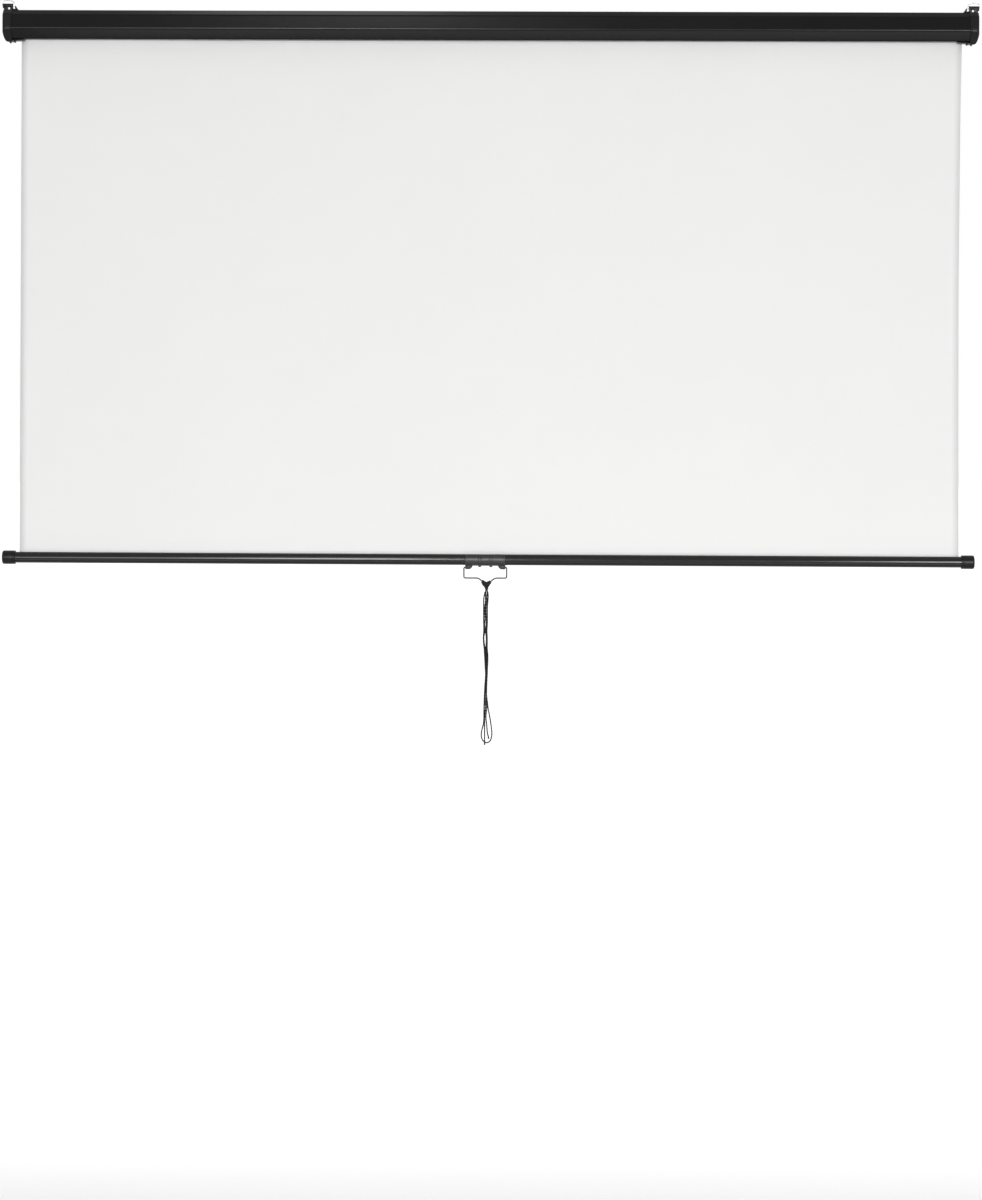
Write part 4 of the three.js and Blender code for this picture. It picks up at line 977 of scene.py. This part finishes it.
def make_bail():
    """The handle: two short ends in the clip's ears, straight sides and runs, and a dip."""
    left = [(-HANDLE_END, 0), (-HANDLE_HALF, 0), (-HANDLE_HALF, HANDLE_RUN)]
    dip = [(DIP_SHIFT - DIP_REACH, HANDLE_RUN), (DIP_SHIFT - DIP_FLAT, DIP_Z),
           (DIP_SHIFT + DIP_FLAT, DIP_Z), (DIP_SHIFT + DIP_REACH, HANDLE_RUN)]
    right = [(-x, z) for x, z in reversed(left)]
    line = upright(left + dip + right, [0, 3, 3, 4, 3, 3, 4, 3, 3, 0], CLIP_SHIFT, CLOTH_Y,
                   PIVOT_Z)
    made = piece("wire_handle", wire(line, HANDLE_WIRE, 20), BLACK_WIRE, "handle")
    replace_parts(made, "handle_bail")
    return line


def make_ring(name, side, node_name, body):
    """A hanging ring: up from both ends of its barrel and over in a rounded arch."""
    half = [(RING_GAP, 0), (RING_HALF, 0), (RING_HALF, RING_SHOULDER), (RING_ARCH, RING_TOP)]
    corners = half + [(-x, z) for x, z in reversed(half)]
    line = upright(corners, [0, 2, 2, 3.4, 3.4, 2, 2, 0], side * RING_X, RING_Y, RING_Z, 0.3)
    made = piece(name, wire(line, RING_WIRE, 16), BRIGHT_STEEL, body)
    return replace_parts(made, node_name)


handle_line = make_bail()
make_ring("ring_wire_left", -1, "hanging_ring_left", "ring_left")
make_ring("ring_wire_right", 1, "hanging_ring_right", "ring_right")

# %% [markdown]
# ## Knot
# The doubled cord is hitched over the dip of the handle: it is wound round the wire on both
# sides of the dip, crosses in front, and its turns draw together like a V into a tight throat,
# where the four strands leave. Each turn is the same braided tube as the strands, on a helix
# round the wire or on a short curve, over a dark core that fills the space between them.

# %% Knot
WIND_FROM, WIND_PITCH, WIND_RADIUS = 1.2, 2.05, 2.2
WIND_TO = {-1: 8.6, 1: 7.2}
ARM_SPREAD = {-1: 1.0, 1: 0.8}
THROAT_RADIUS = 3.1
DIP = SWING + (0, 0, 7.5)
ARMS = [
    [(7.4, -1.4, 1.0), (6.0, -2.2, -1.6), (3.6, -1.8, -4.4), (1.3, -0.8, -7.3)],
    [(5.0, -2.9, 1.6), (3.9, -3.1, -1.2), (2.2, -2.2, -4.0), (0.6, -1.0, -7.0)],
    [(7.0, 1.4, 1.0), (5.6, 2.2, -1.6), (3.2, 1.8, -4.4), (1.2, 0.8, -7.3)],
    [(4.6, 2.9, 1.6), (3.5, 3.1, -1.2), (1.8, 2.2, -4.0), (0.5, 1.0, -7.0)],
]
CROSSING = [(-7.4, -2.4, 2.0), (-4.0, -3.6, 0.4), (-0.4, -4.1, -0.8), (3.0, -3.6, 0.6),
            (5.4, -2.4, 2.4)]


def wound_turns(line, way):
    """A helix round the wire's middle line c: c + r (cos w n + sin w b), where n is square to
    the line in its own plane, b is the y axis, and w grows by a full turn each pitch."""
    steps = lengths(line)
    dip = steps[np.argmin(np.linalg.norm(line - DIP, axis=1))]
    along = np.linspace(WIND_FROM, WIND_TO[way], 150)

    def at(s):
        return np.stack([np.interp(dip + way * s, steps, line[:, k]) for k in range(3)], -1)

    ahead = unit(at(along + 0.5) - at(along - 0.5))
    square = unit(np.cross(ahead, (0, 1, 0)))
    turn = 2 * np.pi * (along - WIND_FROM) / WIND_PITCH
    ring = np.cos(turn)[:, None] * square + np.sin(turn)[:, None] * np.array([0, 1, 0])
    return braided(at(along) + WIND_RADIUS * ring, across=ahead)


def knot_core():
    """A solid heart: at each height an ellipse whose width falls in a smooth line from the
    turns on the wire to the throat."""
    z = np.array([2.2, 1.6, 0, -2, -4, -6, -7.6, -8.6])
    wide = np.array([3.2, 5.6, 6.2, 5.0, 3.6, 2.4, 1.8, 0.6])
    deep = np.array([1.0, 1.9, 2.3, 2.3, 2.1, 1.8, 1.6, 0.6])
    at = np.linspace(2.2, -8.6, 30)
    angle = round_angles(32)
    x = np.interp(-at, -z, wide)[:, None] * np.cos(angle)
    y = np.interp(-at, -z, deep)[:, None] * np.sin(angle)
    return np.stack([x, y, np.broadcast_to(at[:, None], x.shape)], -1)


def make_knot():
    """Both windings, four strands down each side, the crossing strand, core and throat."""
    shells = [wound_turns(handle_line, way) for way in (-1, 1)]
    for side in (-1, 1):
        for arm in ARMS:
            route = np.array(arm) * (side * ARM_SPREAD[side], 1, 1)
            shells.append(braided(evenly(smooth_route(route) + DIP, STEP_ALONG)))
    crossing = evenly(smooth_route(CROSSING) + DIP, STEP_ALONG)
    shells.append(braided(crossing, across=(0, 0, 1)))
    shells.append(shell((knot_core() + DIP) * MM))
    ball = arc(THROAT_RADIUS, np.linspace(0.05, np.pi - 0.05, 20)) + (SWING[2], 0)
    shells.append(shell(turned(ball, 32, SWING[:2], "z") * MM))
    made = piece("pull_knot", shells, BLACK_BRAID, "handle")
    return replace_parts(made, "cord_knot")


make_knot()

# %% [markdown]
# ## Pieces that keep their CAD shape
# The rest keeps its CAD solid and gets its finish here.

# %% Finishes of the CAD pieces
CAD_FINISHES = [
    (BRIGHT_STEEL, ["cap_screw_left_front", "cap_screw_left_back", "cap_screw_right_front",
                    "cap_screw_right_back", "idle_pin", "pawl_pin_upper", "pawl_pin_lower"]),
    (BLACK_WIRE, ["clip_screw_left", "clip_screw_right"]),
    (SPRING_STEEL, ["spring_spindle", "ratchet_wheel", "torsion_spring", "pawl_upper",
                    "pawl_lower", "roller_tube"]),
    (GREY_PLASTIC, ["roller_head", "idle_plug", "idle_bush", "spindle_bush", "hem_rod"]),
]
finish_of = {name: look for look, names in CAD_FINISHES for name in names}
for name, look in finish_of.items():
    for material_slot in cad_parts[name].material_slots:
        material_slot.material = look
left_out = [n for n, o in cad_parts.items() if not o.hide_render and n not in finish_of]
print("CAD pieces without a finish:", left_out)

# %% [markdown]
# ## Floor, background and light
# The photograph has a white ground, and only the lowest part of it is a shade darker, where a
# floor lies about 0.7 m below the cord. The world is white for what the camera and mirrors see
# and a plain level for light. Three windows behind the camera light the cloth evenly, and a low
# lamp lights it from below. The lamps called glints show only in reflections: they draw the
# lines along the ridge, the chamfer and the bar without adding light to the cloth.

# %% Floor
FLOOR_Z, FLOOR_REACH = -1.88, 30.0
GLOW_BEHIND = (0.43, 0.75, -0.22, 0.36)
GLOW_AWAY = (0.42, 0.74, 2.1, 3.5)


def make_floor():
    """A wide flat square below the object, a little wavy in its tone, that still shows a
    shadow. To the camera it glows: less in front below the object, and more behind and away."""
    made, tree, shader = material("pale_floor", Specular_IOR_Level=0.1)
    tone = use(tree, GRAIN, Cells=300.0, Patches=1.5)
    color = mixed(tree, tone["Patch"], grey(0.86), grey(0.9))
    finish(tree, shader, color, between(tree, tone["Patch"], 0.7, 0.8), tone["Height"], 0.00005)
    path = node(tree, "ShaderNodeLightPath").outputs
    seen = math_node(tree, "MAXIMUM", path["Is Camera Ray"], path["Is Glossy Ray"])
    where = object_place(tree)
    back = node(tree, "ShaderNodeSeparateXYZ", {0: where}).outputs["Y"]
    away = node(tree, "ShaderNodeVectorMath", {0: where}, operation="LENGTH").outputs["Value"]
    glow = math_node(tree, "MAXIMUM", between(tree, back, *GLOW_BEHIND),
                     between(tree, away, *GLOW_AWAY))
    shader.inputs["Emission Color"].default_value = (1, 1, 1, 1)
    tree.links.new(math_node(tree, "MULTIPLY", seen, glow), shader.inputs["Emission Strength"])
    mesh = bpy.data.meshes.new("floor")
    corners = [(-1, -1), (1, -1), (1, 1), (-1, 1)]
    mesh.from_pydata([(x * FLOOR_REACH, y * FLOOR_REACH, FLOOR_Z) for x, y in corners], [],
                     [(0, 1, 2, 3)])
    mesh.materials.append(made)
    floor = bpy.data.objects.new("floor", mesh)
    bpy.context.scene.collection.objects.link(floor)


make_floor()

# %% World and lamps


def make_world(level):
    """White to camera, glossy and transmission rays, and a grey of that level to the rest."""
    world = bpy.data.worlds.new("studio")
    bpy.context.scene.world = world
    world.use_nodes = True
    tree = world.node_tree
    path = node(tree, "ShaderNodeLightPath").outputs
    seen = math_node(tree, "MAXIMUM", path["Is Camera Ray"],
                     math_node(tree, "MAXIMUM", path["Is Glossy Ray"], path["Is Transmission Ray"]))
    strength = between(tree, seen, level, 1.0)
    tree.links.new(strength, tree.nodes["Background"].inputs["Strength"])
    tree.nodes["Background"].inputs["Color"].default_value = (1, 1, 1, 1)


def make_lamp(name, place, size, power, aim=None):
    """A rectangular soft lamp at a place, turned to shine at the aim or else straight at the
    wall."""
    aim = (place[0], 0, place[2]) if aim is None else aim
    data = bpy.data.lights.new(name, "AREA")
    data.shape = "RECTANGLE"
    data.size, data.size_y = size
    data.energy = power
    lamp = bpy.data.objects.new(name, data)
    back = unit(np.subtract(place, aim, dtype=float))
    side = unit(np.cross((0.0, 0.0, 1.0), back) if abs(back[2]) < 0.99 else (1.0, 0.0, 0.0))
    up = np.cross(back, side)
    turn = Matrix(np.stack([side, up, back], 1).tolist()).to_4x4()
    lamp.matrix_world = Matrix.Translation(place) @ turn
    bpy.context.scene.collection.objects.link(lamp)
    return lamp


WORLD_LEVEL = 0.42
make_world(WORLD_LEVEL)
make_lamp("left_window", (-1.75, -6.0, -0.6), (1.5, 1.6), 25)
make_lamp("middle_window", (-0.61, -6.0, -0.15), (0.76, 2.6), 67)
make_lamp("right_window", (1.95, -6.0, -0.6), (1.3, 1.8), 86)
low_lamp = make_lamp("low_lamp", (0.15, -0.95, -1.8), (2.4, 0.25), 6.5, (0.15, -0.8, 0))
low_lamp.visible_camera = False
GLINTS = [
    make_lamp("left_glint", (-1.75, -5.9, -0.6), (1.3, 2.2), 31),
    make_lamp("middle_glint", (-0.6, -5.9, -0.15), (0.75, 3.1), 96),
    make_lamp("right_glint", (1.86, -5.9, -0.5), (0.93, 2.6), 93),
    make_lamp("high_glint", (-0.49, -5.2, 3.0), (0.73, 1.0), 13, (-0.49, 0, 0)),
    make_lamp("top_glint", (-0.48, 0.5, 2.6), (0.62, 1.2), 9, (-0.48, 0, 0)),
]
for lamp in GLINTS:
    lamp.visible_diffuse = False
bpy.context.scene.view_settings.view_transform = "Standard"
